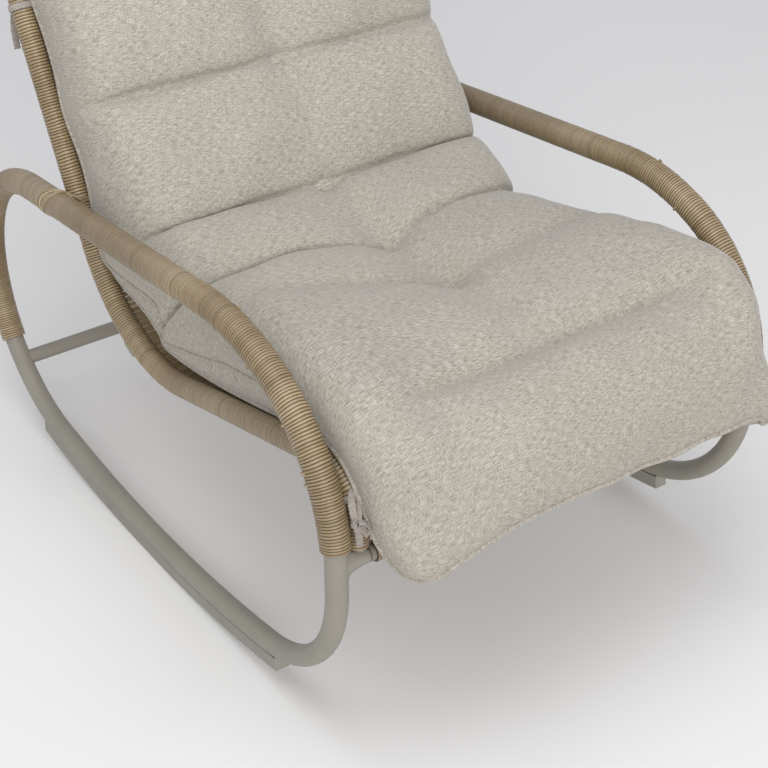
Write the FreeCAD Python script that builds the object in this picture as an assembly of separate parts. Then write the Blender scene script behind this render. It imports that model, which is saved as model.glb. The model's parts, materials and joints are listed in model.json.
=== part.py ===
import FreeCAD, Part
import math
import os

V = FreeCAD.Vector

# ---------------------------------------------------------------- dimensions (mm)
# The side profile is laid out from the front leg's axis (y = 0, rearwards positive)
# and from a level floor_below above the floor (z = 0); everything is moved by y_centre
# and floor_below at the end, so that the origin stands on the floor under the middle
# of the chair's box.
y_centre = 428.3
floor_below = 5.8

# side hoops: arm, front leg, runner and rear bend in one plane on each side
hoop_x = 330.0            # hoop plane to the chair's middle
tube_od = 28.0
tube_wall = 2.0
wrap_od = 37.0            # arm tube with its strand wrapping
arm_bend_start_z = 292.5  # where the front leg starts to bend into the arm
arm_r1 = 208.0
arm_turn1 = 64.2
arm_r2 = 284.5
arm_slope = 5.72          # the arm falls rearwards by this many degrees
arm_wrap_end_z = 311.0    # lower end of the wrapping on the front leg
hoop_joint_turn = 13.0    # where the arm tube and the runner tube butt, on the first bend
rear_bend_y = 728.0       # centre of the rear bend
rear_joint_turn = 112.0   # arm tube's share of the rear bend
rear_wrap_turn = 118.0    # wrapping's share of the rear bend

# rocking runners
rocker_r = 1850.0         # radius of the strip's underside
rocker_y = 488.0          # the lowest point, under the centre of mass
leg_bend_r = 194.0
strip_w = 20.0
strip_h = 17.0
strip_seat = 2.5          # how deep the tube sits in the strip's groove
strip_front_y = 129.0
strip_rear_y = 800.0
strip_screw_y = (240.0, 474.0, 708.0)

# seat and back frame
rail_x = 295.7
rail_od = 24.0
rail_wall = 1.8
rail_wrap_od = 31.0
rail_front_y = 8.0
rail_front_r = 55.0
seat_slope = 14.3         # seat rails fall rearwards
back_slope = 64.1         # back rails rise rearwards, from level
seat_y0, seat_z0 = 165.0, 360.0     # a point on the seat rail's line
back_y0, back_z0 = 641.0, 406.0     # a point on the back rail's line
rail_bend_r = 200.0
back_top_z = 935.0        # centre of the top rail
top_corner_r = 90.0

# cross tubes
bar_od = 20.0
bar_wall = 1.6
bar_wrap_od = 27.0
front_bar_z = 284.0
front_bar_wrap_x = 280.0  # half length of the wrapped middle
rear_bar_drop = 26.0      # seat rear bar below the rail's bend
stretcher_od = 22.0
stretcher_wall = 1.6
stretcher_turn = 128.0    # place of the rear stretcher on the rear bend

stub_d = 12.0             # stub that ties arm and back rail where they cross

# weave and cushion
weave_t = 3.0
weave_x = 279.8
cushion_x = 275.5
cushion_gap = 7.5         # cushion's underside above the rails' middle line
cover_t = 1.5
fill_t = 3.4
strand_r = 1.8
slot_pitch = 14.0         # the weave is open: a pair of strands, then a slot
slot_w = 6.4
cushion_top_u = 520.0     # the cushion's upper end, measured up the back

gap = 0.1                 # between a tube and the wrapping laid round it


# ---------------------------------------------------------------- helpers
def rad(a):
    return math.radians(a)


class Path:
    """Straight runs and tangent arcs in a plane given by a point and two directions."""

    def __init__(self, origin, eu, ev, u, v, heading):
        self.o, self.eu, self.ev = origin, eu, ev
        self.u, self.v, self.h = u, v, rad(heading)
        self.segs = []

    def at(self, u, v):
        return self.o + self.eu * u + self.ev * v

    def direction(self):
        return self.eu * math.cos(self.h) + self.ev * math.sin(self.h)

    def run(self, length):
        p0 = self.at(self.u, self.v)
        d = self.direction()
        self.segs.append(("line", p0, d, length))
        self.u += length * math.cos(self.h)
        self.v += length * math.sin(self.h)
        return self

    def turn(self, r, angle):
        """Positive angles turn to the left, from eu towards ev."""
        s = 1.0 if angle > 0 else -1.0
        cu = self.u - s * r * math.sin(self.h)
        cv = self.v + s * r * math.cos(self.h)
        axis = self.eu.cross(self.ev) * s
        self.segs.append(("arc", self.at(self.u, self.v), self.direction(), self.at(cu, cv), axis, abs(angle)))
        a = rad(angle)
        du, dv = self.u - cu, self.v - cv
        self.u = cu + du * math.cos(a) - dv * math.sin(a)
        self.v = cv + du * math.sin(a) + dv * math.cos(a)
        self.h += a
        return self

    def length(self):
        t = 0.0
        for s in self.segs:
            t += s[3] if s[0] == "line" else rad(s[5]) * (s[1] - s[3]).Length
        return t


def ring_face(p, d, ro, ri):
    outer = Part.Wire(Part.makeCircle(ro, p, d))
    if ri <= 0:
        return Part.Face(outer)
    inner = Part.Wire(Part.makeCircle(ri, p, d))
    return Part.Face(outer).cut(Part.Face(inner)).Faces[0]


def sweep(path, ro, ri=0.0):
    pieces = []
    for s in path.segs:
        f = ring_face(s[1], s[2], ro, ri)
        if s[0] == "line":
            pieces.append(f.extrude(s[2] * s[3]))
        else:
            pieces.append(f.revolve(s[3], s[4], s[5]))
    out = pieces[0]
    if len(pieces) > 1:
        out = out.fuse(pieces[1:])
    return out.Solids[0] if len(out.Solids) == 1 else out


def one(shape):
    """The shape's only solid, or its largest where a cut left crumbs."""
    return max(shape.Solids, key=lambda s: s.Volume)


def mirror_x(shape):
    return shape.mirror(V(0, 0, 0), V(1, 0, 0))


def prism(points, x0, x1):
    """A closed outline in the side plane, pulled across from x0 to x1."""
    w = Part.makePolygon([V(x0, y, z) for y, z in points] + [V(x0, *points[0])])
    return Part.Face(w).extrude(V(x1 - x0, 0, 0))


parts = {}


def add(name, shape):
    parts[name] = shape


# ---------------------------------------------------------------- hoop layout
EY, EZ = V(0, 1, 0), V(0, 0, 1)


def side_path(x, y, z, heading):
    return Path(V(x, 0, 0), EY, EZ, y, z, heading)


tube_r = tube_od / 2
rocker_tube_r = rocker_r - strip_h - tube_r        # radius of the runner tube's middle line
# the leg's lower bend touches the runner's arc from inside
leg_c_y = leg_bend_r
rocker_cz = rocker_r - floor_below                  # the rocking arc's centre
leg_c_z = rocker_cz - math.sqrt((rocker_tube_r - leg_bend_r) ** 2 - (rocker_y - leg_c_y) ** 2)
leg_end = math.degrees(math.asin((rocker_y - leg_c_y) / (rocker_tube_r - leg_bend_r)))

# arm: where the straight part starts
probe = side_path(0, 0, arm_bend_start_z, 90.0)
probe.turn(arm_r1, -arm_turn1).turn(arm_r2, -(90.0 + arm_slope - arm_turn1))
arm_y1, arm_z1 = probe.u, probe.v
# rear bend: touches the arm's line from below and the runner's arc from inside
ca, sa = math.cos(rad(arm_slope)), math.sin(rad(arm_slope))


def rear_gap(r):
    zc = arm_z1 - (rear_bend_y - arm_y1) * sa / ca - r / ca
    return math.hypot(rear_bend_y - rocker_y, rocker_cz - zc) - (rocker_tube_r - r)


lo, hi = 100.0, 260.0
for _ in range(80):
    mid = 0.5 * (lo + hi)
    if rear_gap(lo) * rear_gap(mid) <= 0:
        hi = mid
    else:
        lo = mid
rear_r = 0.5 * (lo + hi)
rear_c_z = arm_z1 - (rear_bend_y - arm_y1) * sa / ca - rear_r / ca
rear_y2 = rear_bend_y + rear_r * sa                # the straight arm ends here
arm_run = (rear_y2 - arm_y1) / ca
runner_end = math.degrees(math.asin((rear_bend_y - rocker_y) / (rocker_tube_r - rear_r)))
rear_turn = 180.0 - arm_slope - runner_end         # whole turn of the rear bend


def arm_path(x, start_turn, end_turn):
    p = side_path(x, 0, arm_bend_start_z, 90.0)
    if start_turn > 0:
        p.turn(arm_r1, -start_turn)
    p.segs = []
    p.turn(arm_r1, -(arm_turn1 - start_turn))
    p.turn(arm_r2, -(90.0 + arm_slope - arm_turn1))
    p.run(arm_run)
    p.turn(rear_r, -end_turn)
    return p


def runner_path(x):
    # from the butt joint on the front bend down the leg, along the runner, up to the rear joint
    p = side_path(x, 0, arm_bend_start_z, 90.0)
    p.turn(arm_r1, -hoop_joint_turn)
    p.segs = []
    p.h += math.pi
    p.turn(arm_r1, hoop_joint_turn)
    p.run(arm_bend_start_z - leg_c_z)
    p.turn(leg_bend_r, 90.0 - leg_end)
    p.turn(rocker_tube_r, leg_end + runner_end)
    p.turn(rear_r, rear_turn - rear_joint_turn)
    return p


def strip_solid(x):
    a0 = math.degrees(math.asin((strip_front_y - rocker_y) / rocker_r))
    a1 = math.degrees(math.asin((strip_rear_y - rocker_y) / rocker_r))
    c = V(x, rocker_y, rocker_cz)
    r_top = rocker_r - strip_h - strip_seat
    f = Part.Face(Part.makePolygon([
        V(x - strip_w / 2, rocker_y, -floor_below), V(x + strip_w / 2, rocker_y, -floor_below),
        V(x + strip_w / 2, rocker_y, rocker_cz - r_top), V(x - strip_w / 2, rocker_y, rocker_cz - r_top),
        V(x - strip_w / 2, rocker_y, -floor_below)]))
    f.rotate(c, V(1, 0, 0), a0)
    return f.revolve(c, V(1, 0, 0), a1 - a0)


def screw_axis(x, y):
    a = math.asin((y - rocker_y) / rocker_r)
    d = V(0, -math.sin(a), math.cos(a))            # from the floor towards the rocker's centre
    return V(x, y, rocker_cz - rocker_r * math.cos(a)), d


# ---------------------------------------------------------------- seat and back frame layout
ss, cs = math.sin(rad(seat_slope)), math.cos(rad(seat_slope))
sb, cb = math.sin(rad(back_slope)), math.cos(rad(back_slope))
# corner where the seat line and the back line would meet
ts, tb = math.tan(rad(seat_slope)), math.tan(rad(back_slope))
corner_y = (seat_z0 + ts * seat_y0 - back_z0 + tb * back_y0) / (tb + ts)
corner_z = seat_z0 - ts * (corner_y - seat_y0)
rail_turn = seat_slope + back_slope
rail_tan = rail_bend_r * math.tan(rad(rail_turn / 2))
seat_end = (corner_y - rail_tan * cs, corner_z + rail_tan * ss)
back_start = (corner_y + rail_tan * cb, corner_z + rail_tan * sb)
# front bend of the rail, down to the front bar
front_c_y = rail_front_y + rail_front_r
front_t_y = front_c_y + rail_front_r * ss
front_t_z = seat_z0 - ts * (front_t_y - seat_y0)
front_c_z = front_t_z - rail_front_r * cs
seat_run = (seat_end[0] - front_t_y) / cs
back_len = (back_top_z - back_start[1]) / sb       # to the top rail's middle line
back_run = back_len - top_corner_r
seat_t = (cs, -ss)                                 # along the seat, rearwards
seat_n = (ss, cs)                                  # up from the seat
back_t = (cb, sb)                                  # up the back
back_n = (-sb, cb)                                 # forwards from the back


def seat_pt(s, h):
    return (front_t_y + s * seat_t[0] + h * seat_n[0], front_t_z + s * seat_t[1] + h * seat_n[1])


def back_pt(u, h):
    return (back_start[0] + u * back_t[0] + h * back_n[0], back_start[1] + u * back_t[1] + h * back_n[1])


bend_c = (seat_end[0] + rail_bend_r * seat_n[0], seat_end[1] + rail_bend_r * seat_n[1])


def rail_path(x, z_start):
    p = side_path(x, rail_front_y, z_start, 90.0)
    p.run(front_c_z - z_start)
    p.turn(rail_front_r, -(90.0 + seat_slope))
    p.run(seat_run)
    p.turn(rail_bend_r, rail_turn)
    p.run(back_run)
    return p


def top_path():
    y, z = back_pt(back_run, 0)
    p = Path(V(0, y, z), V(1, 0, 0), V(0, back_t[0], back_t[1]), -rail_x, 0, 90.0)
    p.turn(top_corner_r, -90.0)
    p.run(2 * (rail_x - top_corner_r))
    p.turn(top_corner_r, -90.0)
    return p


# ---------------------------------------------------------------- hoops
leg_solid_L = sweep(runner_path(-hoop_x), tube_r)
arm_L = sweep(arm_path(-hoop_x, hoop_joint_turn, rear_joint_turn), tube_r, tube_r - tube_wall)
runner_L = sweep(runner_path(-hoop_x), tube_r, tube_r - tube_wall)
wrap_turn0 = math.degrees(math.asin((arm_wrap_end_z - arm_bend_start_z) / arm_r1))
arm_wrap_L = sweep(arm_path(-hoop_x, wrap_turn0, rear_wrap_turn), wrap_od / 2, tube_r + gap)

# sleeves pressed into the tubes at the two butt joints of each hoop
sleeve_r = tube_r - tube_wall - 0.05


def sleeve(x, front):
    if front:
        p = side_path(x, 0, arm_bend_start_z, 90.0)
        p.turn(arm_r1, -(hoop_joint_turn - 8.0))
        p.segs = []
        p.turn(arm_r1, -16.0)
    else:
        p = arm_path(x, hoop_joint_turn, rear_joint_turn - 8.0)
        p.segs = []
        p.turn(rear_r, -16.0)
    return sweep(p, sleeve_r, sleeve_r - 1.6)


# ---------------------------------------------------------------- rails and cross tubes
bar_r = bar_od / 2
front_bar_solid = Part.makeCylinder(bar_r, 2 * hoop_x, V(-hoop_x, 0, front_bar_z), V(1, 0, 0))
front_bar = front_bar_solid.cut(Part.makeCylinder(bar_r - bar_wall, 2 * hoop_x, V(-hoop_x, 0, front_bar_z), V(1, 0, 0)))
leg_solid_R = mirror_x(leg_solid_L)
front_bar = one(front_bar.cut(leg_solid_L).cut(leg_solid_R))

rail_L = sweep(rail_path(-rail_x, front_bar_z), rail_od / 2, rail_od / 2 - rail_wall)
rail_L = one(rail_L.cut(front_bar_solid))
rail_outer_L = sweep(rail_path(-rail_x, front_bar_z), rail_od / 2)
rail_wrap_L = sweep(rail_path(-rail_x, front_bar_z + bar_r + 4.5), rail_wrap_od / 2, rail_od / 2 + gap)

# flared weld where the front bar meets the leg
flare = []
for x, ay, az in ((-hoop_x + 1, 13.2, 21.0), (-hoop_x + 13, 12.6, 18.0), (-hoop_x + 20, 11.6, 13.6),
                  (-hoop_x + 30, 10.7, 11.2), (-hoop_x + 42, 10.2, 10.25)):
    e = Part.Ellipse(V(0, 0, 0), az, ay).toShape()
    w = Part.Wire(e)
    w.rotate(V(0, 0, 0), V(0, 1, 0), -90.0)        # the ellipse's long axis stands up, across x
    w.translate(V(x, 0, front_bar_z))
    flare.append(w)
weld_L = Part.makeLoft(flare, True)
if weld_L.Volume < 0:
    weld_L.reverse()
weld_L = one(weld_L.cut(leg_solid_L).cut(front_bar_solid).cut(rail_outer_L))

front_bar_wrap = Part.makeCylinder(bar_wrap_od / 2, 2 * front_bar_wrap_x, V(-front_bar_wrap_x, 0, front_bar_z), V(1, 0, 0)).cut(
    Part.makeCylinder(bar_r + gap, 2 * front_bar_wrap_x, V(-front_bar_wrap_x, 0, front_bar_z), V(1, 0, 0)))

top_rail = sweep(top_path(), rail_od / 2, rail_od / 2 - rail_wall)
top_wrap = sweep(top_path(), rail_wrap_od / 2, rail_od / 2 + gap)

# bar under the seat's rear bend, between the rails, on two short drop plates
am = rad(-90.0 + (back_slope - seat_slope) / 2)
bend_mid = (bend_c[0] + rail_bend_r * math.cos(am), bend_c[1] + rail_bend_r * math.sin(am))
rear_bar_y = bend_mid[0] + rear_bar_drop * math.cos(am)
rear_bar_z = bend_mid[1] + rear_bar_drop * math.sin(am)
plate_t = 4.0
rear_bar_half = rail_x - plate_t / 2
rear_bar = Part.makeCylinder(bar_r, 2 * rear_bar_half, V(-rear_bar_half, rear_bar_y, rear_bar_z), V(1, 0, 0)).cut(
    Part.makeCylinder(bar_r - bar_wall, 2 * rear_bar_half, V(-rear_bar_half, rear_bar_y, rear_bar_z), V(1, 0, 0)))


def drop_plate(x):
    """Lug welded under the rail; the rear bar ends on its inner face."""
    f = []
    for r, half in ((rail_bend_r + rail_od / 2 - 3.0, 20.0), (rail_bend_r + rear_bar_drop + bar_r + 1.5, 12.0)):
        for s in (-1, 1):
            f.append((bend_c[0] + r * math.cos(am) - s * half * math.sin(am), bend_c[1] + r * math.sin(am) + s * half * math.cos(am)))
    pts = [f[0], f[1], f[3], f[2]]
    return prism(pts, x - plate_t / 2, x + plate_t / 2)


plate_L = one(drop_plate(-rail_x).cut(rail_outer_L))
rail_wrap_L = one(rail_wrap_L.cut(drop_plate(-rail_x)))

# stub through both wrappings where the arm and the back rail cross
den = tb + sa / ca
cross_y = (arm_z1 + sa / ca * arm_y1 - back_z0 + tb * back_y0) / den
cross_z = arm_z1 - sa / ca * (cross_y - arm_y1)
stub_solid = Part.makeCylinder(stub_d / 2, hoop_x - rail_x, V(-hoop_x, cross_y, cross_z), V(1, 0, 0))
arm_solid_L = sweep(arm_path(-hoop_x, hoop_joint_turn, rear_joint_turn), tube_r)
stub_L = one(stub_solid.cut(arm_solid_L).cut(rail_outer_L))
bore = Part.makeCylinder(stub_d / 2 + gap, hoop_x - rail_x, V(-hoop_x, cross_y, cross_z), V(1, 0, 0))
arm_wrap_L = one(arm_wrap_L.cut(bore))
rail_wrap_L = one(rail_wrap_L.cut(bore))

# rear stretcher between the two hoops
sp = arm_path(0, hoop_joint_turn, stretcher_turn)
st_y, st_z = sp.u, sp.v
stretcher = Part.makeCylinder(stretcher_od / 2, 2 * hoop_x, V(-hoop_x, st_y, st_z), V(1, 0, 0)).cut(
    Part.makeCylinder(stretcher_od / 2 - stretcher_wall, 2 * hoop_x, V(-hoop_x, st_y, st_z), V(1, 0, 0)))
stretcher = one(stretcher.cut(leg_solid_L).cut(leg_solid_R))

# ---------------------------------------------------------------- runner strips and their screws
seat_groove = sweep(runner_path(-hoop_x), tube_r + 0.05)
strip_L = one(strip_solid(-hoop_x).cut(seat_groove))
screws_L = []
for y in strip_screw_y:
    p, d = screw_axis(-hoop_x, y)
    head = Part.makeCone(4.4, 2.2, 2.4, p + d * 2.0, d)
    shank = Part.makeCylinder(2.2, strip_h + 6.0, p + d * 4.2, d)
    screw = head.fuse(shank).removeSplitter()
    screws_L.append(one(screw))
    hole = Part.makeCylinder(4.6, 4.4, p - d * 2.4, d).fuse(Part.makeCone(4.6, 2.4, 2.4, p + d * 2.0, d)).fuse(
        Part.makeCylinder(2.3, strip_h + 8.0, p + d * 4.2, d))
    strip_L = one(strip_L.cut(hole))
    runner_L = one(runner_L.cut(Part.makeCylinder(2.3, strip_h + 8.0, p + d * 4.2, d)))

# ---------------------------------------------------------------- lashings at the crossing
def lashing(side):
    """Two strand loops laid crosswise round the arm and the back rail."""
    x0 = -hoop_x - wrap_od / 2 - strand_r - 0.4
    x1 = -rail_x + rail_wrap_od / 2 + strand_r + 0.4
    loops = []
    for ang in ((back_slope - arm_slope) / 2, (back_slope - arm_slope) / 2 + 90.0):
        d = V(0, math.cos(rad(ang)), math.sin(rad(ang)))
        half = 0.5 * wrap_od / abs(math.sin(rad(ang + arm_slope))) + strand_r + 1.2
        r = 12.0
        p = Path(V(0, cross_y, cross_z), V(1, 0, 0), d, x0 + r, -half, 0.0)
        w, h = (x1 - x0) - 2 * r, 2 * half - 2 * r
        for a in (w, h, w, h):
            p.run(a)
            p.turn(r, 90.0)
        loops.append(sweep(p, strand_r))
    s = loops[0].fuse(loops[1:])
    return one(s) if side < 0 else mirror_x(one(s))


# ---------------------------------------------------------------- weave
def weave_sheet(pts_low, pts_high):
    return prism(pts_low + pts_high[::-1], -weave_x, weave_x)


seat_weave = weave_sheet([seat_pt(6.0, 0.0), seat_pt(seat_run, 0.0)], [seat_pt(6.0, weave_t), seat_pt(seat_run, weave_t)])
back_weave = weave_sheet([back_pt(0.0, 0.0), back_pt(back_len - rail_wrap_od / 2 - 1.0, 0.0)],
                         [back_pt(0.0, weave_t), back_pt(back_len - rail_wrap_od / 2 - 1.0, weave_t)])
# the top corners of the back are round, so the sheet is cut to them
y, z = back_pt(back_run, 0)
for sx in (-1, 1):
    p = V(sx * (rail_x - top_corner_r), y, z)
    nrm = V(0, back_n[0], back_n[1])
    quad = Part.Face(Part.makePolygon([
        p - nrm * 10, p - nrm * 10 + V(sx * 200, 0, 0), p - nrm * 10 + V(sx * 200, back_t[0] * 200, back_t[1] * 200),
        p - nrm * 10 + V(0, back_t[0] * 200, back_t[1] * 200), p - nrm * 10])).extrude(nrm * 24)
    keep = Part.makeCylinder(top_corner_r - rail_wrap_od / 2 - 0.4, 24, p - nrm * 10, nrm)
    back_weave = one(back_weave.cut(quad.cut(keep)))
f = Part.Face(Part.makePolygon([
    V(-weave_x, seat_end[0], seat_end[1]), V(weave_x, seat_end[0], seat_end[1]),
    V(weave_x, *(seat_pt(seat_run, weave_t))), V(-weave_x, *(seat_pt(seat_run, weave_t))),
    V(-weave_x, seat_end[0], seat_end[1])]))
bend_weave = f.revolve(V(0, bend_c[0], bend_c[1]), V(1, 0, 0), rail_turn)

# open slots between the strand pairs, closed at both rails
slot_x = weave_x - 16.0


def slot_cut(centre, along, normal):
    e = along * (slot_w / 2)
    n = normal * 8.0
    q = [centre - e - n, centre + e - n, centre + e + n, centre - e + n]
    w = Part.makePolygon([v + V(-slot_x, 0, 0) for v in q] + [q[0] + V(-slot_x, 0, 0)])
    return Part.Face(w).extrude(V(2 * slot_x, 0, 0))


def v3(p):
    return V(0, p[0], p[1])


st, sn, bt, bn = v3(seat_t), v3(seat_n), v3(back_t), v3(back_n)
cuts = []
s0 = 16.0
while s0 < seat_run - 6.0:
    cuts.append(slot_cut(v3(seat_pt(s0, 1.5)), st, sn))
    s0 += slot_pitch
seat_weave = one(seat_weave.cut(cuts))
cuts = []
s0 = 10.0
while s0 < back_run - 8.0:
    cuts.append(slot_cut(v3(back_pt(s0, 1.5)), bt, bn))
    s0 += slot_pitch
back_weave = one(back_weave.cut(cuts))
cuts = []
steps = int(rad(rail_turn) * rail_bend_r / slot_pitch)
for i in range(steps):
    a = rad(-90.0 - seat_slope + rail_turn * (i + 0.5) / steps)
    nrm = V(0, math.cos(a), math.sin(a))
    cuts.append(slot_cut(V(0, bend_c[0], bend_c[1]) + nrm * (rail_bend_r - 1.5), V(0, -math.sin(a), math.cos(a)), nrm))
bend_weave = one(bend_weave.cut(cuts))
# room in the weave's edge for the lashings and the back ties
tie_u = 330.0
lash_u = (cross_y - back_start[0]) * back_t[0] + (cross_z - back_start[1]) * back_t[1]
for sx in (-1, 1):
    for u, half in ((tie_u, 7.0), (lash_u, 30.0)):
        c = v3(back_pt(u, 0.0))
        b = Part.Face(Part.makePolygon([c - bt * half - bn * 8, c + bt * half - bn * 8, c + bt * half + bn * 8,
                                        c - bt * half + bn * 8, c - bt * half - bn * 8]))
        b = b.extrude(V(6.0, 0, 0))
        b.translate(V(weave_x - 4.2 if sx > 0 else -weave_x - 1.8, 0, 0))
        back_weave = one(back_weave.cut(b))

# ---------------------------------------------------------------- cushion
# one long tufted cushion, drawn as the chambers between its cross seams
tuft1 = (509.0, 470.0)    # seam between the lumbar roll and the back
tuft2 = (360.0, 436.0)    # fold between seat and lumbar roll
tuft3 = (220.0, 434.0)    # seam across the seat
seat_front_top = (60.0, 462.0)
g0 = seat_pt(-8.0, cushion_gap)


def seat_foot(p):
    s = (p[0] - front_t_y) * seat_t[0] + (p[1] - front_t_z) * seat_t[1]
    return seat_pt(s, cushion_gap)


arc = []
for i in range(0, 9):
    a = rad(-90.0 - seat_slope + rail_turn * i / 8.0)
    r = rail_bend_r - cushion_gap
    arc.append((bend_c[0] + r * math.cos(a), bend_c[1] + r * math.sin(a)))
back_foot = back_pt(18.0, cushion_gap)
chambers = [
    [seat_front_top, (14.0, 458.0), (-98.0, 313.0), (-84.0, 298.0), (-30.0, 306.0), g0],
    [seat_front_top, g0, seat_foot(tuft3), tuft3],
    [tuft3, seat_foot(tuft3), seat_foot(tuft2), tuft2],
    [tuft2, seat_foot(tuft2)] + arc + [back_foot, tuft1],
    [tuft1, back_foot, back_pt(cushion_top_u, cushion_gap), back_pt(cushion_top_u, 75.0)],
]


def inset(pts, t):
    """The convex outline pulled in by t on every side."""
    n = len(pts)
    area = sum(pts[i][0] * pts[(i + 1) % n][1] - pts[(i + 1) % n][0] * pts[i][1] for i in range(n))
    s = 1.0 if area > 0 else -1.0
    lines = []
    for i in range(n):
        (y0, z0), (y1, z1) = pts[i], pts[(i + 1) % n]
        d = math.hypot(y1 - y0, z1 - z0)
        ny, nz = -s * (z1 - z0) / d, s * (y1 - y0) / d
        lines.append((ny, nz, ny * y0 + nz * z0 + t))
    out = []
    for i in range(n):
        a, b = lines[i - 1], lines[i]
        det = a[0] * b[1] - a[1] * b[0]
        out.append(((a[2] * b[1] - a[1] * b[2]) / det, (a[0] * b[2] - a[2] * b[0]) / det))
    return out


def hollow(pts, t_out, t_in):
    """A closed box of the outline pulled in by t_out, hollow inside t_in."""
    a = prism(inset(pts, t_out) if t_out else pts, -cushion_x + t_out, cushion_x - t_out)
    b = prism(inset(pts, t_in), -cushion_x + t_in, cushion_x - t_in)
    return one(a.cut(b))


covers = [hollow(c, 0.0, cover_t) for c in chambers]
fills = [hollow(c, cover_t + 0.2, cover_t + 0.2 + fill_t) for c in chambers]

# tuft tabs on the middle line, one on each seam and two up the back
tufts = []
for (y, z), ang in ((tuft3, 96.0), (tuft2, 97.0), (tuft1, 128.0),
                    ((0.67 * tuft1[0] + 0.33 * back_pt(cushion_top_u, 75.0)[0], 0.67 * tuft1[1] + 0.33 * back_pt(cushion_top_u, 75.0)[1]), 146.5),
                    ((0.34 * tuft1[0] + 0.66 * back_pt(cushion_top_u, 75.0)[0], 0.34 * tuft1[1] + 0.66 * back_pt(cushion_top_u, 75.0)[1]), 146.5)):
    d = V(0, math.cos(rad(ang)), math.sin(rad(ang)))
    lift = 5.0 if (y, z) == tuft1 else 2.6 if (y, z) in (tuft2, tuft3) else 0.4
    tufts.append(Part.makeCylinder(9.0, 3.0, V(0, y, z) + d * lift, d))

# fabric ties: a band round the rail, a knot and two tails
def tie_front():
    """Band round the rail's front bend, a strap down its outer side, the knot and two tails before the rail."""
    ang = 122.0                                    # place on the rail's front bend
    c0 = V(-rail_x, front_c_y, front_c_z)
    c = c0 + V(0, rail_front_r * math.cos(rad(ang)), rail_front_r * math.sin(rad(ang)))
    t = V(0, math.sin(rad(ang)), -math.cos(rad(ang)))
    band = Part.makeCylinder(17.5, 10.0, c - t * 5.0, t).cut(Part.makeCylinder(16.1, 10.0, c - t * 5.0, t))
    r0 = rail_front_r + rail_wrap_od / 2 + 0.4
    rect = Part.Face(Part.makePolygon([V(-rail_x - 1, front_c_y + r0, front_c_z), V(-rail_x - 9, front_c_y + r0 + 0.0, front_c_z),
                                       V(-rail_x - 9, front_c_y + r0 + 1.6, front_c_z), V(-rail_x - 1, front_c_y + r0 + 1.6, front_c_z),
                                       V(-rail_x - 1, front_c_y + r0, front_c_z)]))
    rect.rotate(c0, V(1, 0, 0), ang - 4.0)
    strap = rect.revolve(c0, V(1, 0, 0), 172.0 - (ang - 4.0))
    k = V(-rail_x - 5.5, front_c_y - r0 - 4.6, front_c_z + 10.0)
    knot = Part.makeBox(14.0, 9.0, 13.0, V(-7.0, -4.5, -6.5))
    knot = knot.makeFillet(3.0, knot.Edges)
    knot.translate(k)
    tail = []
    for dx, ln in ((-3.2, 46.0), (3.4, 34.0)):
        b = Part.makeBox(6.0, 1.8, ln, V(-3.0, -0.9, -ln))
        b.rotate(V(0, 0, 0), V(0, 1, 0), dx * 1.2)
        b.translate(k + V(dx, -1.0, 0))
        tail.append(b)
    return band.fuse([strap, knot] + tail)


def tie_back():
    y, z = back_pt(tie_u, 0)
    c = V(-rail_x, y, z)
    t = V(0, back_t[0], back_t[1])
    band = Part.makeCylinder(17.4, 11.0, c - t * 5.5, t).cut(Part.makeCylinder(15.9, 11.0, c - t * 5.5, t))
    rearw = V(0, -back_n[0], -back_n[1])
    knot = Part.makeBox(15.0, 9.0, 13.0, V(-7.5, -4.5, -6.5))
    knot = knot.makeFillet(3.0, knot.Edges)
    knot.rotate(V(0, 0, 0), V(1, 0, 0), -(90.0 - back_slope))
    knot.translate(c + rearw * 20.4)
    tail = []
    for dx, ln in ((-3.5, 62.0), (4.0, 50.0)):
        b = Part.makeBox(6.5, 2.0, ln, V(-3.25, -1.0, -ln))
        b.rotate(V(0, 0, 0), V(0, 1, 0), dx * 1.6)
        b.translate(c + rearw * 22.0 + V(dx, 0, 0))
        tail.append(b)
    return band.fuse([knot] + tail)


tie_f = one(tie_front())
tie_b = one(tie_back())

# ---------------------------------------------------------------- naming
for side, m in (("left", lambda s: s), ("right", mirror_x)):
    add(side + "_arm_tube", m(arm_L))
    add(side + "_runner_tube", m(runner_L))
    add(side + "_arm_wrap", m(arm_wrap_L))
    add(side + "_seat_back_rail", m(rail_L))
    add(side + "_rail_wrap", m(rail_wrap_L))
    add(side + "_front_bar_weld", m(weld_L))
    add(side + "_rear_bar_lug", m(plate_L))
    add(side + "_arm_stub", m(stub_L))
    add(side + "_arm_lashing", lashing(-1) if side == "left" else lashing(1))
    add(side + "_runner_strip", m(strip_L))
    add(side + "_front_tie", m(tie_f))
    add(side + "_back_tie", m(tie_b))
    add(side + "_hoop_sleeves", Part.makeCompound([m(sleeve(-hoop_x, True)), m(sleeve(-hoop_x, False))]))
add("front_bar", front_bar)
add("front_bar_wrap", front_bar_wrap)
add("top_back_rail", top_rail)
add("top_rail_wrap", top_wrap)
add("seat_rear_bar", rear_bar)
add("rear_stretcher", stretcher)
add("seat_weave", seat_weave)
add("bend_weave", bend_weave)
add("back_weave", back_weave)
add("runner_screws", Part.makeCompound(screws_L + [mirror_x(s) for s in screws_L]))
add("cushion_cover", Part.makeCompound(covers))
add("cushion_fill", Part.makeCompound(fills))
add("tuft_tabs", Part.makeCompound(tufts))

os.makedirs("parts", exist_ok=True)
for name, shape in parts.items():
    shape = shape.copy()
    shape.translate(V(0, -y_centre, floor_below))
    shape.exportStep("parts/%s.step" % name)
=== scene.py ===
import bpy
import json
import math
import numpy as np
from mathutils import Matrix, Vector

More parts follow.
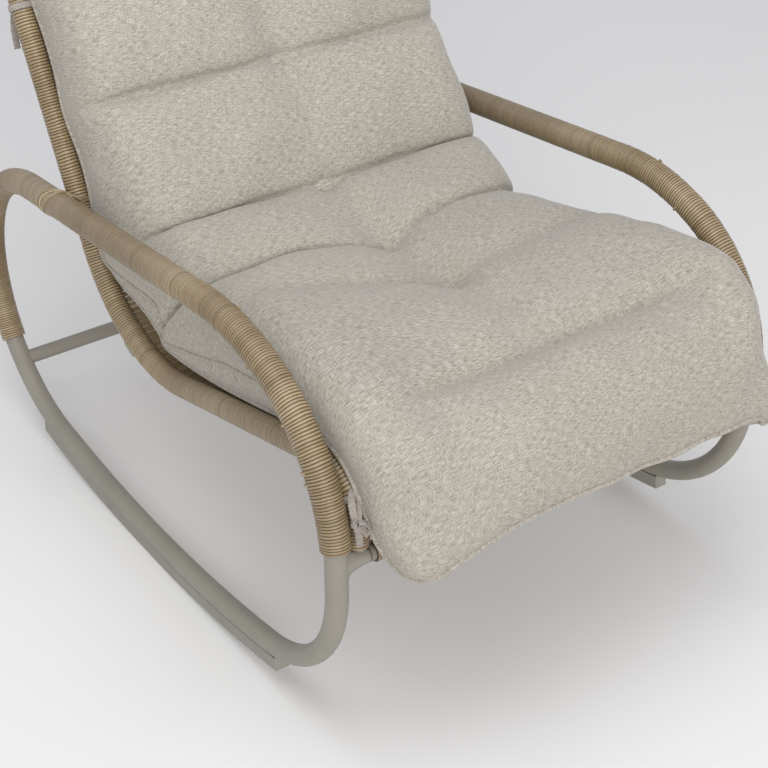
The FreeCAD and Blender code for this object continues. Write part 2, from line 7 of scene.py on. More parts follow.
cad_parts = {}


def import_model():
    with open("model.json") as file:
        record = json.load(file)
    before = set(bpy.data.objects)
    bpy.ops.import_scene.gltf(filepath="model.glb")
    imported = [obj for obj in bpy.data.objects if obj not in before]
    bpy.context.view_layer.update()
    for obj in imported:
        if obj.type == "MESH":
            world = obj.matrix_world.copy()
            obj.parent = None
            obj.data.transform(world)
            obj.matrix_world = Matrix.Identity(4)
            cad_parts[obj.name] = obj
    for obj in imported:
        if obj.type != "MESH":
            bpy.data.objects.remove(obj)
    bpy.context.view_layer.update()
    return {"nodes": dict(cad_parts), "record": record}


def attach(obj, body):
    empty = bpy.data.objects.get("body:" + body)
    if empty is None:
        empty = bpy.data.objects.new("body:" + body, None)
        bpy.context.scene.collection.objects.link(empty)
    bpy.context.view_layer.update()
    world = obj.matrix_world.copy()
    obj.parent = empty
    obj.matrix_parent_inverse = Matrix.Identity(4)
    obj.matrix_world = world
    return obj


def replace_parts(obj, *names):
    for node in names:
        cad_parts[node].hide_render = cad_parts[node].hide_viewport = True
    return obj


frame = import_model()
scene = bpy.context.scene

# Layout: x across, y rearwards from the front leg's axis, z from a level above the floor, all in mm.
Y0, Z0 = 428.3, 5.8


def world(p):
    """Layout points in mm to the row frame in metres."""
    p = np.asarray(p, float)
    return (p + np.array([0.0, -Y0, Z0])) / 1000.0


def rad(a):
    return math.radians(a)


# ------------------------------------------------------------------ camera
cam_data = bpy.data.cameras.new("camera")
cam = bpy.data.objects.new("camera", cam_data)
scene.collection.objects.link(cam)
right = Vector((0.8136, -0.5814, 0.0)).normalized()
fwd = Vector((0.4824, 0.6751, -0.5582)).normalized()
up = right.cross(fwd).normalized()
right = fwd.cross(up).normalized()
rot = Matrix((right, up, -fwd)).transposed()
cam.matrix_world = Matrix.Translation((-1.1069, (-1182.3 - Y0) / 1000.0, (1471.6 + Z0) / 1000.0)) @ rot.to_4x4()
cam_data.sensor_width = 36.0
cam_data.lens = 1617.0 / 768.0 * 36.0
cam_data.shift_x = -1.0 / 768.0
cam_data.shift_y = 11.0 / 768.0
cam_data.clip_start, cam_data.clip_end = 0.05, 60.0
scene.camera = cam


# ------------------------------------------------------------------ mesh helpers
def add_object(name, verts, faces, mat, smooth=True):
    me = bpy.data.meshes.new(name)
    me.from_pydata(np.asarray(verts, float).tolist(), [], np.asarray(faces).tolist() if not isinstance(faces, list) else faces)
    me.update()
    if smooth:
        me.polygons.foreach_set("use_smooth", [True] * len(me.polygons))
    me.materials.append(mat)
    o = bpy.data.objects.new(name, me)
    scene.collection.objects.link(o)
    return o


def set_colour(me, name, rgba):
    a = me.color_attributes.new(name=name, type="FLOAT_COLOR", domain="POINT")
    a.data.foreach_set("color", np.asarray(rgba, np.float32).ravel())


def grid_quads(rows, cols, close_rows=False, close_cols=False):
    r = np.arange(rows if close_rows else rows - 1)
    c = np.arange(cols if close_cols else cols - 1)
    R, C = np.meshgrid(r, c, indexing="ij")
    R2, C2 = (R + 1) % rows, (C + 1) % cols
    return np.stack([R * cols + C, R * cols + C2, R2 * cols + C2, R2 * cols + C], -1).reshape(-1, 4)


def outward(verts, faces):
    """Turns all faces over if the closed mesh is inside out."""
    v = np.asarray(verts)
    f = np.asarray(faces)
    a, b, c, d = v[f[:, 0]], v[f[:, 1]], v[f[:, 2]], v[f[:, 3]]
    vol = (np.einsum("ij,ij->i", a, np.cross(b, c)) + np.einsum("ij,ij->i", a, np.cross(c, d))).sum()
    return f[:, ::-1] if vol < 0 else f


def pchip(x, xp, yp):
    """Smooth interpolation that doesn't overshoot its points."""
    x, xp, yp = np.asarray(x, float), np.asarray(xp, float), np.asarray(yp, float)
    h = np.diff(xp)
    d = np.diff(yp) / h
    m = np.zeros_like(yp)
    for i in range(1, len(xp) - 1):
        if d[i - 1] * d[i] > 0:
            w1, w2 = 2 * h[i] + h[i - 1], h[i] + 2 * h[i - 1]
            m[i] = (w1 + w2) / (w1 / d[i - 1] + w2 / d[i])
    m[0], m[-1] = d[0], d[-1]
    i = np.clip(np.searchsorted(xp, x, side="right") - 1, 0, len(h) - 1)
    t = np.clip((x - xp[i]) / h[i], 0, 1)
    return ((2 * t**3 - 3 * t**2 + 1) * yp[i] + (t**3 - 2 * t**2 + t) * h[i] * m[i]
            + (-2 * t**3 + 3 * t**2) * yp[i + 1] + (t**3 - t**2) * h[i] * m[i + 1])


class Track:
    """Straight runs and tangent arcs in one plane, read by distance along them."""

    def __init__(self, origin, eu, ev, u, v, heading):
        self.o, self.eu, self.ev = (np.asarray(q, float) for q in (origin, eu, ev))
        self.b = np.cross(self.eu, self.ev)
        self.segs, self.length = [], 0.0
        self.u, self.v, self.h = u, v, rad(heading)

    def go(self, length):
        self.segs.append((self.length, length, self.u, self.v, self.h, 0.0))
        self.u += length * math.cos(self.h)
        self.v += length * math.sin(self.h)
        self.length += length
        return self

    def turn(self, r, angle):
        k = (1.0 if angle > 0 else -1.0) / r
        ln = abs(rad(angle)) * r
        self.segs.append((self.length, ln, self.u, self.v, self.h, k))
        h1 = self.h + k * ln
        self.u += (math.sin(h1) - math.sin(self.h)) / k
        self.v -= (math.cos(h1) - math.cos(self.h)) / k
        self.h = h1
        self.length += ln
        return self

    def at(self, s):
        """Position, tangent and normal for distances s (mm)."""
        s = np.asarray(s, float)
        starts = np.array([g[0] for g in self.segs])
        i = np.clip(np.searchsorted(starts, s, side="right") - 1, 0, len(starts) - 1)
        g = np.array(self.segs)[i]
        ds = s - g[..., 0]
        h0, k = g[..., 4], g[..., 5]
        h = h0 + k * ds
        ks = np.where(np.abs(k) < 1e-9, 1.0, k)
        u = np.where(np.abs(k) < 1e-9, g[..., 2] + ds * np.cos(h0), g[..., 2] + (np.sin(h) - np.sin(h0)) / ks)
        v = np.where(np.abs(k) < 1e-9, g[..., 3] + ds * np.sin(h0), g[..., 3] - (np.cos(h) - np.cos(h0)) / ks)
        pos = self.o + u[..., None] * self.eu + v[..., None] * self.ev
        tan = np.cos(h)[..., None] * self.eu + np.sin(h)[..., None] * self.ev
        nor = -np.sin(h)[..., None] * self.eu + np.cos(h)[..., None] * self.ev
        return pos, tan, nor


# ------------------------------------------------------------------ layout, as in the CAD
EY, EZ = (0, 1, 0), (0, 0, 1)
hoop_x, rail_x = 330.0, 295.7
arm_slope, arm_z0 = 5.72, 292.5
rocker_r, rocker_y = 1850.0, 488.0
tube_c = rocker_r - 17.0 - 14.0
rocker_cz = rocker_r - Z0
probe = Track((0, 0, 0), EY, EZ, 0.0, arm_z0, 90.0).turn(208.0, -64.2).turn(284.5, -(90.0 + arm_slope - 64.2))
ca, sa = math.cos(rad(arm_slope)), math.sin(rad(arm_slope))


def rear_gap(r):
    zc = probe.v - (728.0 - probe.u) * sa / ca - r / ca
    return math.hypot(728.0 - rocker_y, rocker_cz - zc) - (tube_c - r)


lo, hi = 100.0, 260.0
for _ in range(80):
    mid = 0.5 * (lo + hi)
    if rear_gap(lo) * rear_gap(mid) <= 0:
        hi = mid
    else:
        lo = mid
rear_r = lo
arm_run = (728.0 + rear_r * sa - probe.u) / ca


def arm_track(x, end_turn=118.0):
    return (Track((x, 0, 0), EY, EZ, 0.0, arm_z0, 90.0).turn(208.0, -64.2)
            .turn(284.5, -(90.0 + arm_slope - 64.2)).go(arm_run).turn(rear_r, -end_turn))


ss, cs = math.sin(rad(14.3)), math.cos(rad(14.3))
sb, cb = math.sin(rad(64.1)), math.cos(rad(64.1))
ts, tb = ss / cs, sb / cb
corner_y = (360.0 + ts * 165.0 - 406.0 + tb * 641.0) / (tb + ts)
corner_z = 360.0 - ts * (corner_y - 165.0)
rail_tan = 200.0 * math.tan(rad(78.4 / 2))
seat_end = (corner_y - rail_tan * cs, corner_z + rail_tan * ss)
back_start = (corner_y + rail_tan * cb, corner_z + rail_tan * sb)
front_c_y = 8.0 + 55.0
front_t_y = front_c_y + 55.0 * ss
front_t_z = 360.0 - ts * (front_t_y - 165.0)
front_c_z = front_t_z - 55.0 * cs
seat_run = (seat_end[0] - front_t_y) / cs
back_len = (935.0 - back_start[1]) / sb
back_run = back_len - 90.0
bend_c = (seat_end[0] + 200.0 * ss, seat_end[1] + 200.0 * cs)


def seat_pt(s, h):
    return front_t_y + s * cs + h * ss, front_t_z - s * ss + h * cs


def back_pt(u, h):
    return back_start[0] + u * cb - h * sb, back_start[1] + u * sb + h * cb


def rail_track(x, z_start):
    return (Track((x, 0, 0), EY, EZ, 8.0, z_start, 90.0).go(front_c_z - z_start).turn(55.0, -104.3)
            .go(seat_run).turn(200.0, 78.4).go(back_run))


def top_track():
    y, z = back_pt(back_run, 0)
    return (Track((0, y, z), (1, 0, 0), (0, cb, sb), -rail_x, 0.0, 90.0).turn(90.0, -90.0)
            .go(2 * (rail_x - 90.0)).turn(90.0, -90.0))


cross_y = (probe.v + sa / ca * probe.u - 406.0 + tb * 641.0) / (tb + sa / ca)
cross_z = probe.v - sa / ca * (cross_y - probe.u)


# ------------------------------------------------------------------ materials
def new_mat(name):
    m = bpy.data.materials.new(name)
    m.use_nodes = True
    nt = m.node_tree
    return m, nt, nt.nodes["Principled BSDF"]


def node(nt, kind, **props):
    n = nt.nodes.new(kind)
    for k, v in props.items():
        setattr(n, k, v)
    return n


def ramp(nt, src, stops):
    r = node(nt, "ShaderNodeValToRGB")
    el = r.color_ramp.elements
    while len(el) < len(stops):
        el.new(0.5)
    for e, (p, c) in zip(el, stops):
        e.position = p
        e.color = (*c, 1.0)
    nt.links.new(src, r.inputs[0])
    return r.outputs[0]


def mix(nt, kind, fac, a, b):
    m = node(nt, "ShaderNodeMix", data_type="RGBA", blend_type=kind)
    for sock, val in ((m.inputs["Factor"], fac), (m.inputs["A"], a), (m.inputs["B"], b)):
        if hasattr(val, "links"):
            nt.links.new(val, sock)
        elif isinstance(val, tuple):
            sock.default_value = (*val, 1.0)
        else:
            sock.default_value = val
    return m.outputs["Result"]


def math_node(nt, op, a, b=None):
    m = node(nt, "ShaderNodeMath", operation=op)
    for sock, val in ((m.inputs[0], a), (m.inputs[1], b)):
        if val is None:
            continue
        if hasattr(val, "links"):
            nt.links.new(val, sock)
        else:
            sock.default_value = val
    return m.outputs[0]


def noise(nt, vec, scale, detail=3.0, rough=0.55):
    n = node(nt, "ShaderNodeTexNoise")
    n.inputs["Scale"].default_value = scale
    n.inputs["Detail"].default_value = detail
    n.inputs["Roughness"].default_value = rough
    nt.links.new(vec, n.inputs["Vector"])
    return n.outputs["Fac"]


def mapping(nt, vec, scale):
    m = node(nt, "ShaderNodeMapping")
    m.inputs["Scale"].default_value = scale
    nt.links.new(vec, m.inputs["Vector"])
    return m.outputs["Vector"]


def bump(nt, bsdf, height, strength, distance):
    b = node(nt, "ShaderNodeBump")
    b.inputs["Strength"].default_value = strength
    b.inputs["Distance"].default_value = distance
    nt.links.new(height, b.inputs["Height"])
    nt.links.new(b.outputs["Normal"], bsdf.inputs["Normal"])


def strand_material():
    """Satin resin strand: tan, each turn a little different, with painted shade in the gaps between turns, painted
    highlight on their crests and a painted cool sky reflection on the flattened runs.
    """
    m, nt, bsdf = new_mat("resin_strand")
    att = node(nt, "ShaderNodeAttribute", attribute_name="strand")
    sep = node(nt, "ShaderNodeSeparateColor")
    nt.links.new(att.outputs["Color"], sep.inputs[0])
    geo = node(nt, "ShaderNodeNewGeometry")
    obj = node(nt, "ShaderNodeTexCoord").outputs["Object"]
    tone = ramp(nt, sep.outputs[1], [(0.0, (0.178, 0.132, 0.076)), (0.3, (0.236, 0.181, 0.109)),
                                     (0.7, (0.282, 0.222, 0.141)), (1.0, (0.362, 0.295, 0.202))])
    streak = ramp(nt, noise(nt, obj, 420.0, 4.0), [(0.3, (0.82, 0.8, 0.76)), (0.7, (1.12, 1.12, 1.12))])
    tone = mix(nt, "MULTIPLY", 0.8, tone, streak)
    cloud = ramp(nt, noise(nt, obj, 9.0, 2.0), [(0.3, (0.9, 0.89, 0.87)), (0.7, (1.07, 1.07, 1.08))])
    tone = mix(nt, "MULTIPLY", 1.0, tone, cloud)
    # painted sky reflection: the flattened runs are tinted cool grey
    painted_sky_reflection_tint = ramp(nt, sep.outputs[2], [(0.4, (0.79, 0.815, 0.9)), (0.85, (1.0, 1.0, 1.0))])
    tone = mix(nt, "MULTIPLY", 1.0, tone, painted_sky_reflection_tint)
    # painted shade in the grooves between turns and painted highlight on their crests, driven by the height channel
    painted_groove_shade_crest_highlight = ramp(nt, sep.outputs[0], [(0.0, (0.12, 0.075, 0.03)), (0.5, (0.5, 0.4, 0.27)), (0.8, (0.92, 0.9, 0.87)), (1.0, (1.22, 1.2, 1.16))])
    nt.links.new(mix(nt, "MULTIPLY", 1.0, tone, painted_groove_shade_crest_highlight), bsdf.inputs["Base Color"])
    rough = ramp(nt, noise(nt, obj, 160.0, 3.0), [(0.3, (0.3, 0.3, 0.3)), (0.75, (0.43, 0.43, 0.43))])
    nt.links.new(rough, bsdf.inputs["Roughness"])
    bsdf.inputs["Specular IOR Level"].default_value = 0.55
    bump(nt, bsdf, noise(nt, obj, 900.0, 2.0), 0.25, 0.0004)
    return m


def paint_material(name, col, rough):
    """Fine-textured matte powder coat."""
    m, nt, bsdf = new_mat(name)
    obj = node(nt, "ShaderNodeTexCoord").outputs["Object"]
    base = ramp(nt, noise(nt, obj, 14.0, 3.0), [(0.3, tuple(c * 0.95 for c in col)), (0.7, tuple(c * 1.05 for c in col))])
    fleck = ramp(nt, noise(nt, obj, 1500.0, 2.0), [(0.35, (0.93, 0.93, 0.93)), (0.65, (1.05, 1.05, 1.05))])
    nt.links.new(mix(nt, "MULTIPLY", 1.0, base, fleck), bsdf.inputs["Base Color"])
    r = ramp(nt, noise(nt, obj, 60.0, 3.0), [(0.3, (rough - 0.05,) * 3), (0.7, (rough + 0.06,) * 3)])
    nt.links.new(r, bsdf.inputs["Roughness"])
    bsdf.inputs["Specular IOR Level"].default_value = 0.4
    bump(nt, bsdf, noise(nt, obj, 1100.0, 2.0), 0.22, 0.0003)
    return m


def fabric_material(name, dark, light, uv_scale=1.0, sheen=0.25):
    """Heathered plain weave: uneven yarns both ways, slubs mostly across the width."""
    m, nt, bsdf = new_mat(name)
    uv = node(nt, "ShaderNodeUVMap", uv_map="cloth").outputs["UV"]
    weft = noise(nt, mapping(nt, uv, (92.0 * uv_scale, 1080.0 * uv_scale, 1.0)), 1.0, 1.0, 0.5)
    warp = noise(nt, mapping(nt, uv, (1040.0 * uv_scale, 120.0 * uv_scale, 1.0)), 1.0, 1.0, 0.5)
    fine = noise(nt, uv, 1450.0 * uv_scale, 1.0, 0.5)
    s = math_node(nt, "ADD", math_node(nt, "MULTIPLY", weft, 0.46), math_node(nt, "MULTIPLY", warp, 0.29))
    s = math_node(nt, "ADD", s, math_node(nt, "MULTIPLY", fine, 0.25))
    base = ramp(nt, s, [(0.425, dark), (0.5, tuple(0.5 * (a + b) for a, b in zip(dark, light))), (0.575, light)])
    cloud = ramp(nt, noise(nt, uv, 5.0, 3.0), [(0.3, (0.965, 0.962, 0.955)), (0.7, (1.03, 1.03, 1.03))])
    nt.links.new(mix(nt, "MULTIPLY", 1.0, base, cloud), bsdf.inputs["Base Color"])
    bsdf.inputs["Roughness"].default_value = 0.93
    bsdf.inputs["Specular IOR Level"].default_value = 0.15
    bsdf.inputs["Sheen Weight"].default_value = sheen
    bsdf.inputs["Sheen Roughness"].default_value = 0.5
    wx = node(nt, "ShaderNodeTexWave", wave_type="BANDS", bands_direction="X")
    wy = node(nt, "ShaderNodeTexWave", wave_type="BANDS", bands_direction="Y")
    for w in (wx, wy):
        w.inputs["Scale"].default_value = 240.0 * uv_scale
        w.inputs["Distortion"].default_value = 1.2
        w.inputs["Detail"].default_value = 1.0
        nt.links.new(uv, w.inputs["Vector"])
    h = math_node(nt, "ADD", math_node(nt, "MULTIPLY", wx.outputs["Fac"], 0.5), math_node(nt, "MULTIPLY", wy.outputs["Fac"], 0.5))
    h = math_node(nt, "ADD", h, math_node(nt, "MULTIPLY", s, 1.4))
    bump(nt, bsdf, h, 0.3, 0.0003)
    return m


STRAND = strand_material()
PAINT = paint_material("taupe_powder_coat", (0.25, 0.237, 0.203), 0.45)
STRIP = paint_material("taupe_runner_strip", (0.265, 0.253, 0.223), 0.55)
FABRIC = fabric_material("heathered_fabric", (0.236, 0.217, 0.181), (0.436, 0.411, 0.364))
TIE = fabric_material("tie_fabric", (0.2, 0.177, 0.16), (0.39, 0.355, 0.33), 1.6, 0.3)


def screw_material():
    m, nt, bsdf = new_mat("screw_steel")
    obj = node(nt, "ShaderNodeTexCoord").outputs["Object"]
    nt.links.new(ramp(nt, noise(nt, obj, 300.0), [(0.3, (0.5, 0.5, 0.5)), (0.7, (0.65, 0.65, 0.64))]), bsdf.inputs["Base Color"])
    bsdf.inputs["Metallic"].default_value = 1.0
    nt.links.new(ramp(nt, noise(nt, obj, 500.0), [(0.3, (0.3,) * 3), (0.7, (0.42,) * 3)]), bsdf.inputs["Roughness"])
    return m


SCREW = screw_material()
BY_SLOT = {"frame_paint": PAINT, "resin_strand": STRAND, "runner_strip": STRIP, "cushion_fabric": FABRIC,
           "fibre_fill": FABRIC, "tie_fabric": TIE, "screw_steel": SCREW}
slot_of = {p["node"]: p["material_slot"] for p in frame["record"]["subparts"]}
for n, o in frame["nodes"].items():
    o.data.materials.clear()
    o.data.materials.append(BY_SLOT[slot_of[n]])


# ------------------------------------------------------------------ strand wrappings
def wrap(name, track, s0, s1, r_out, r_core, seed, seg=28, pitch=3.75, depth=1.5, lean=0.6, dark_turns=(), relief=((0.0, 1.0),)):
    """A tube wound with round strand: every turn is a ridge, a little uneven."""
    rg = np.random.default_rng(seed)
    turns = max(3, int(round((s1 - s0) / pitch)))
    w = 1.0 + 0.07 * rg.standard_normal(turns).clip(-2, 2)
    edges = s0 + (s1 - s0) * np.concatenate([[0], np.cumsum(w) / w.sum()])
    q = np.array([0.0, 0.09, 0.28, 0.5, 0.72, 0.91])
    prof = np.sqrt(1 - (2 * q - 1) ** 2)
    swell = 0.16 * rg.standard_normal(turns).clip(-2, 2)
    tone = rg.random(turns)
    # neighbouring turns come from one strand, so the tone drifts and jumps
    drift = np.interp(np.arange(turns), np.arange(0, turns + 40, 23), rg.random(len(np.arange(0, turns + 40, 23))))
    tone = np.clip(0.35 * tone + 0.65 * drift, 0, 1)
    for f in dark_turns:
        tone[int(np.clip(f * turns, 0, turns - 1))] *= 0.3
    s_rows = (edges[:-1, None] + np.diff(edges)[:, None] * q).ravel()
    # the strand lies flatter and closer on some runs
    rel = np.interp(s_rows, [a for a, _ in relief], [b for _, b in relief])
    hgt = 1 - rel * (1 - np.tile(prof, turns))
    r_rows = (r_out - depth) + hgt * depth + np.tile(prof, turns) * np.repeat(swell, len(q)) * rel
    g_rows = np.repeat(tone, len(q))
    # blue channel: relief of each row; the material tints the flattened runs cool grey there as a painted sky
    # reflection
    painted_reflection_rows = np.concatenate([[1.0], rel, np.ones(2 + 58)])
    s_rows = np.concatenate([[s0], s_rows, [s1], [s1]])
    r_rows = np.concatenate([[r_core], r_rows, [r_rows[-len(q)]], [r_core]])
    # red channel: height across each turn; the material turns it into painted shade in the grooves and painted
    # highlight on the crests
    painted_shade_highlight_rows = np.concatenate([[0], hgt, [0], [0]])
    g_rows = np.concatenate([[0.3], g_rows, [0.3], [0.3]])
    inner = np.linspace(s1, s0, 60)[1:-1]
    s_rows = np.concatenate([s_rows, inner])
    r_rows = np.concatenate([r_rows, np.full(len(inner), r_core)])
    painted_shade_highlight_rows = np.concatenate([painted_shade_highlight_rows, np.zeros(len(inner))])
    g_rows = np.concatenate([g_rows, np.full(len(inner), 0.3)])
    th = 2 * math.pi * np.arange(seg) / seg
    ease = np.clip(np.minimum(s_rows - s0, s1 - s_rows) / 24.0, 0, 1)
    s = s_rows[:, None] + lean * ease[:, None] * np.cos(th - 0.6)[None, :]
    # the strand isn't laid perfectly straight
    s = s + (0.22 * ease)[:, None] * np.sin(3 * th[None, :] + s_rows[:, None] * 0.11)
    pos, tan, nor = track.at(s)
    p = pos + r_rows[:, None, None] * (np.cos(th)[None, :, None] * nor + np.sin(th)[None, :, None] * track.b)
    v = world(p.reshape(-1, 3))
    f = outward(v, grid_quads(len(s_rows), seg, close_rows=True, close_cols=True))
    o = add_object(name, v, f, STRAND)
    col = np.ones((len(s_rows), seg, 4))
    col[..., 0] = painted_shade_highlight_rows[:, None]
    col[..., 1] = g_rows[:, None]
    col[..., 2] = painted_reflection_rows[:, None]
    set_colour(o.data, "strand", col.reshape(-1, 4))
    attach(o, "root")
    return o


arm_len = arm_track(0).length
arm_s0 = 208.0 * math.asin((311.0 - arm_z0) / 208.0)
rail_len = rail_track(0, 298.5).length
for side, sx in (("left", -1), ("right", 1)):
    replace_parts(wrap(side + "_arm_winding", arm_track(sx * hoop_x), arm_s0, arm_len, 18.5, 14.1, 11 + sx,
                     dark_turns=(0.034, 0.16, 0.25, 0.33),
                     relief=((0, 1.0), (300, 1.0), (430, 0.7), (560, 0.45), (950, 0.45), (1080, 0.9))), side + "_arm_wrap")
    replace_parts(wrap(side + "_rail_winding", rail_track(sx * rail_x, 298.5), 0.0, rail_len, 15.5, 12.1, 21 + sx, seg=24, pitch=4.2,
                     dark_turns=(0.1, 0.28, 0.45),
                     relief=((0, 1.0), (110, 1.0), (200, 0.5), (470, 0.5), (560, 0.9), (760, 1.0))), side + "_rail_wrap")
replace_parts(wrap("top_rail_winding", top_track(), 0.0, top_track().length, 15.5, 12.1, 31, seg=24), "top_rail_wrap")
bar_track = Track((0, 0, 284.0), (1, 0, 0), (0, 0, 1), -280.0, 0.0, 0.0).go(560.0)
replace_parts(wrap("front_bar_winding", bar_track, 0.0, 560.0, 13.5, 10.1, 41, seg=24), "front_bar_wrap")


# ------------------------------------------------------------------ loose strands
def tube_strips(paths, r, seg=8, closed=False, caps=True):
    """Round strand along each polyline; returns vertices, quads and the strand of each vertex."""
    V, F, S, n0 = [], [], [], 0
    th = 2 * math.pi * np.arange(seg) / seg
    for k, p in enumerate(paths):
        p = np.asarray(p, float)
        n = len(p)
        if closed:
            t = np.roll(p, -1, 0) - np.roll(p, 1, 0)
        else:
            t = np.gradient(p, axis=0)
        t /= np.linalg.norm(t, axis=1)[:, None]
        a = np.cross(t[0], (0.0, 0.35, 0.94))
        if np.linalg.norm(a) < 0.2:
            a = np.cross(t[0], (1.0, 0.2, 0.0))
        N = np.zeros_like(p)
        for i in range(n):
            a = a - t[i] * np.dot(a, t[i])
            a = a / np.linalg.norm(a)
            N[i] = a
        B = np.cross(t, N)
        rr = np.full(n, r)
        ring = p[:, None, :] + rr[:, None, None] * (np.cos(th)[None, :, None] * N[:, None, :] + np.sin(th)[None, :, None] * B[:, None, :])
        V.append(ring.reshape(-1, 3))
        S.append(np.full(n * seg, k))
        F.append(grid_quads(n, seg, close_rows=closed, close_cols=True) + n0)
        if caps and not closed:
            for base, flip in ((n0, True), (n0 + (n - 1) * seg, False)):
                q = [[base + i, base + i + 1, base + seg - 2 - i, base + seg - 1 - i] for i in range(seg // 2 - 1)]
                F.append(np.array(q)[:, ::-1] if flip else np.array(q))
        n0 += n * seg
    return np.concatenate(V), np.concatenate(F), np.concatenate(S)


def strand_object(name, paths, r, seed, seg=8, closed=False, tone=(0.2, 0.9)):
    rg = np.random.default_rng(seed)
    v, f, k = tube_strips(paths, r, seg, closed)
    v = world(v)
    o = add_object(name, v, outward(v, f), STRAND)
    g = tone[0] + (tone[1] - tone[0]) * rg.random(len(paths))
    col = np.ones((len(v), 4))
    # red channel set near the crest, so these strands carry the painted crest highlight level all over
    col[:, 0] = 0.95
    col[:, 1] = g[k]
    set_colour(o.data, "strand", col)
    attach(o, "root")
    return o


# woven seat, bend and back: pairs of strands from rail to rail, bundles lengthwise through them
mid_track = rail_track(0, 298.5)
s_seat0 = (front_c_z - 298.5) + rad(104.3) * 55.0
s_bend0 = s_seat0 + seat_run
s_back0 = s_bend0 + rad(78.4) * 200.0
wrng = np.random.default_rng(5)
strand_r = 1.95
pair_pitch = 8.4


def cross_strands(a, b):
    out = []
    n = int((b - a) / pair_pitch)
    xs = np.concatenate([np.linspace(-286, -262, 7), np.linspace(-240, 240, 17), np.linspace(262, 286, 7)])
    for i in range(n):
        sc = a + (i + 0.5) * (b - a) / n
        jl, jr = wrng.normal(0, 0.35, 2)
        for j, off in enumerate((-2.05, 2.05)):
            spread = np.interp(np.abs(xs), [0, 255, 286], [1.0, 1.0, 1.13])
            sv = sc + off * spread + np.interp(xs, [-286, -255, 255, 286], [jl, 0, 0, jr])
            x_lim = 286.0
            if sc > s_back0 + back_run:
                d = sc - s_back0 - back_run
                x_lim = rail_x - 90.0 + math.sqrt(max(0.0, 76.5**2 - d * d))
            pos, tan, nor = mid_track.at(sv)
            hh = 1.2 + wrng.normal(0, 0.15) - np.interp(np.abs(xs), [0, 286], [0.8, 0.0])
            # over and under the lengthwise bundles
            hh = hh + 0.9 * np.cos(xs / 70.0 * math.pi + math.pi * i) * (np.abs(xs) < 250)
            p = pos + nor * hh[:, None]
            p[:, 0] = np.clip(xs, -x_lim, x_lim)
            keep = np.concatenate([[True], np.abs(np.diff(p[:, 0])) > 0.5])
            out.append(p[keep])
    return out


def long_strands(a, b):
    out = []
    for x in np.arange(-210, 211, 70.0):
        for off in (-2.1, 2.1):
            s = np.linspace(a, b, max(8, int((b - a) / 5)))
            pos, tan, nor = mid_track.at(s)
            i = (s - a) / ((b - a) / max(1, int((b - a) / pair_pitch))) - 0.5
            h = 1.2 - 2.6 * np.cos(math.pi * (i + x / 70.0))
            p = pos + nor * h[:, None]
            p[:, 0] = x + off + 0.5 * np.sin(i * 0.9)
            out.append(p)
    return out


for nm, a, b, seed in (("seat_weave", s_seat0 + 4, s_bend0, 51), ("bend_weave", s_bend0, s_back0, 52),
                       ("back_weave", s_back0, s_back0 + back_len - 17.0, 53)):
    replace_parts(strand_object(nm + "_strands", cross_strands(a, b) + long_strands(a, b), strand_r, seed, seg=8), nm)


# lashings where arm and back rail cross: some turns round both, some round the arm alone
def lashing_loops(sx):
    loops = []
    arm_dir, rail_dir = np.array([ca, -sa]), np.array([cb, sb])
    d = np.array([math.cos(rad(118.0)), math.sin(rad(118.0))])
    n = np.array([-d[1], d[0]])
    for sh in (-1.9, 0.0, 1.9):
        pts = []
        for cx, r, axis in ((-hoop_x, 18.5 + 0.8, arm_dir), (-rail_x, 15.5 + 0.8, rail_dir)):
            cr = d[0] * axis[1] - d[1] * axis[0]          # sine between loop plane and tube
            c_off = sh * (n[0] * axis[1] - n[1] * axis[0]) / cr
            for t in np.linspace(0, 2 * math.pi, 48, endpoint=False):
                pts.append((cx + r * math.cos(t), r * math.sin(t) / abs(cr) - c_off))
        pts = sorted(set((round(a, 3), round(b, 3)) for a, b in pts))

        def half(seq):
            h = []
            for q in seq:
                while len(h) > 1 and (h[-1][0] - h[-2][0]) * (q[1] - h[-2][1]) - (h[-1][1] - h[-2][1]) * (q[0] - h[-2][0]) <= 0:
                    h.pop()
                h.append(q)
            return h[:-1]

        hull = np.array(half(pts) + half(pts[::-1]))
        seg = np.linalg.norm(np.roll(hull, -1, 0) - hull, axis=1)
        cum = np.concatenate([[0], np.cumsum(seg)])
        hc = np.vstack([hull, hull[:1]])
        tt = np.linspace(0, cum[-1], 72, endpoint=False)
        lx, ld = np.interp(tt, cum, hc[:, 0]), np.interp(tt, cum, hc[:, 1])
        # the turns slip down the rail
        slip = -16.0 * np.clip((lx + 322.0) / 22.0, 0, 1)
        loops.append(np.stack([lx, cross_y + d[0] * ld + n[0] * sh + slip * cb, cross_z + d[1] * ld + n[1] * sh + slip * sb], -1))
    for at, lean, r in ((-6.0, 15.0, 19.2), (-2.6, 13.0, 19.3), (2.2, 17.0, 19.2)):
        t = np.linspace(0, 2 * math.pi, 56, endpoint=False)
        al = at - lean * np.cos(t)
        loops.append(np.stack([-hoop_x + r * np.cos(t), cross_y + al * ca + r * np.sin(t) * sa, cross_z - al * sa + r * np.sin(t) * ca], -1))
    if sx > 0:
        loops = [p * np.array([-1, 1, 1]) for p in loops]
    return loops


for side, sx in (("left", -1), ("right", 1)):
    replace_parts(strand_object(side + "_lashing_strands", lashing_loops(sx), 0.85, 61 + sx, seg=8, closed=True, tone=(0.55, 1.0)),
                side + "_arm_lashing")

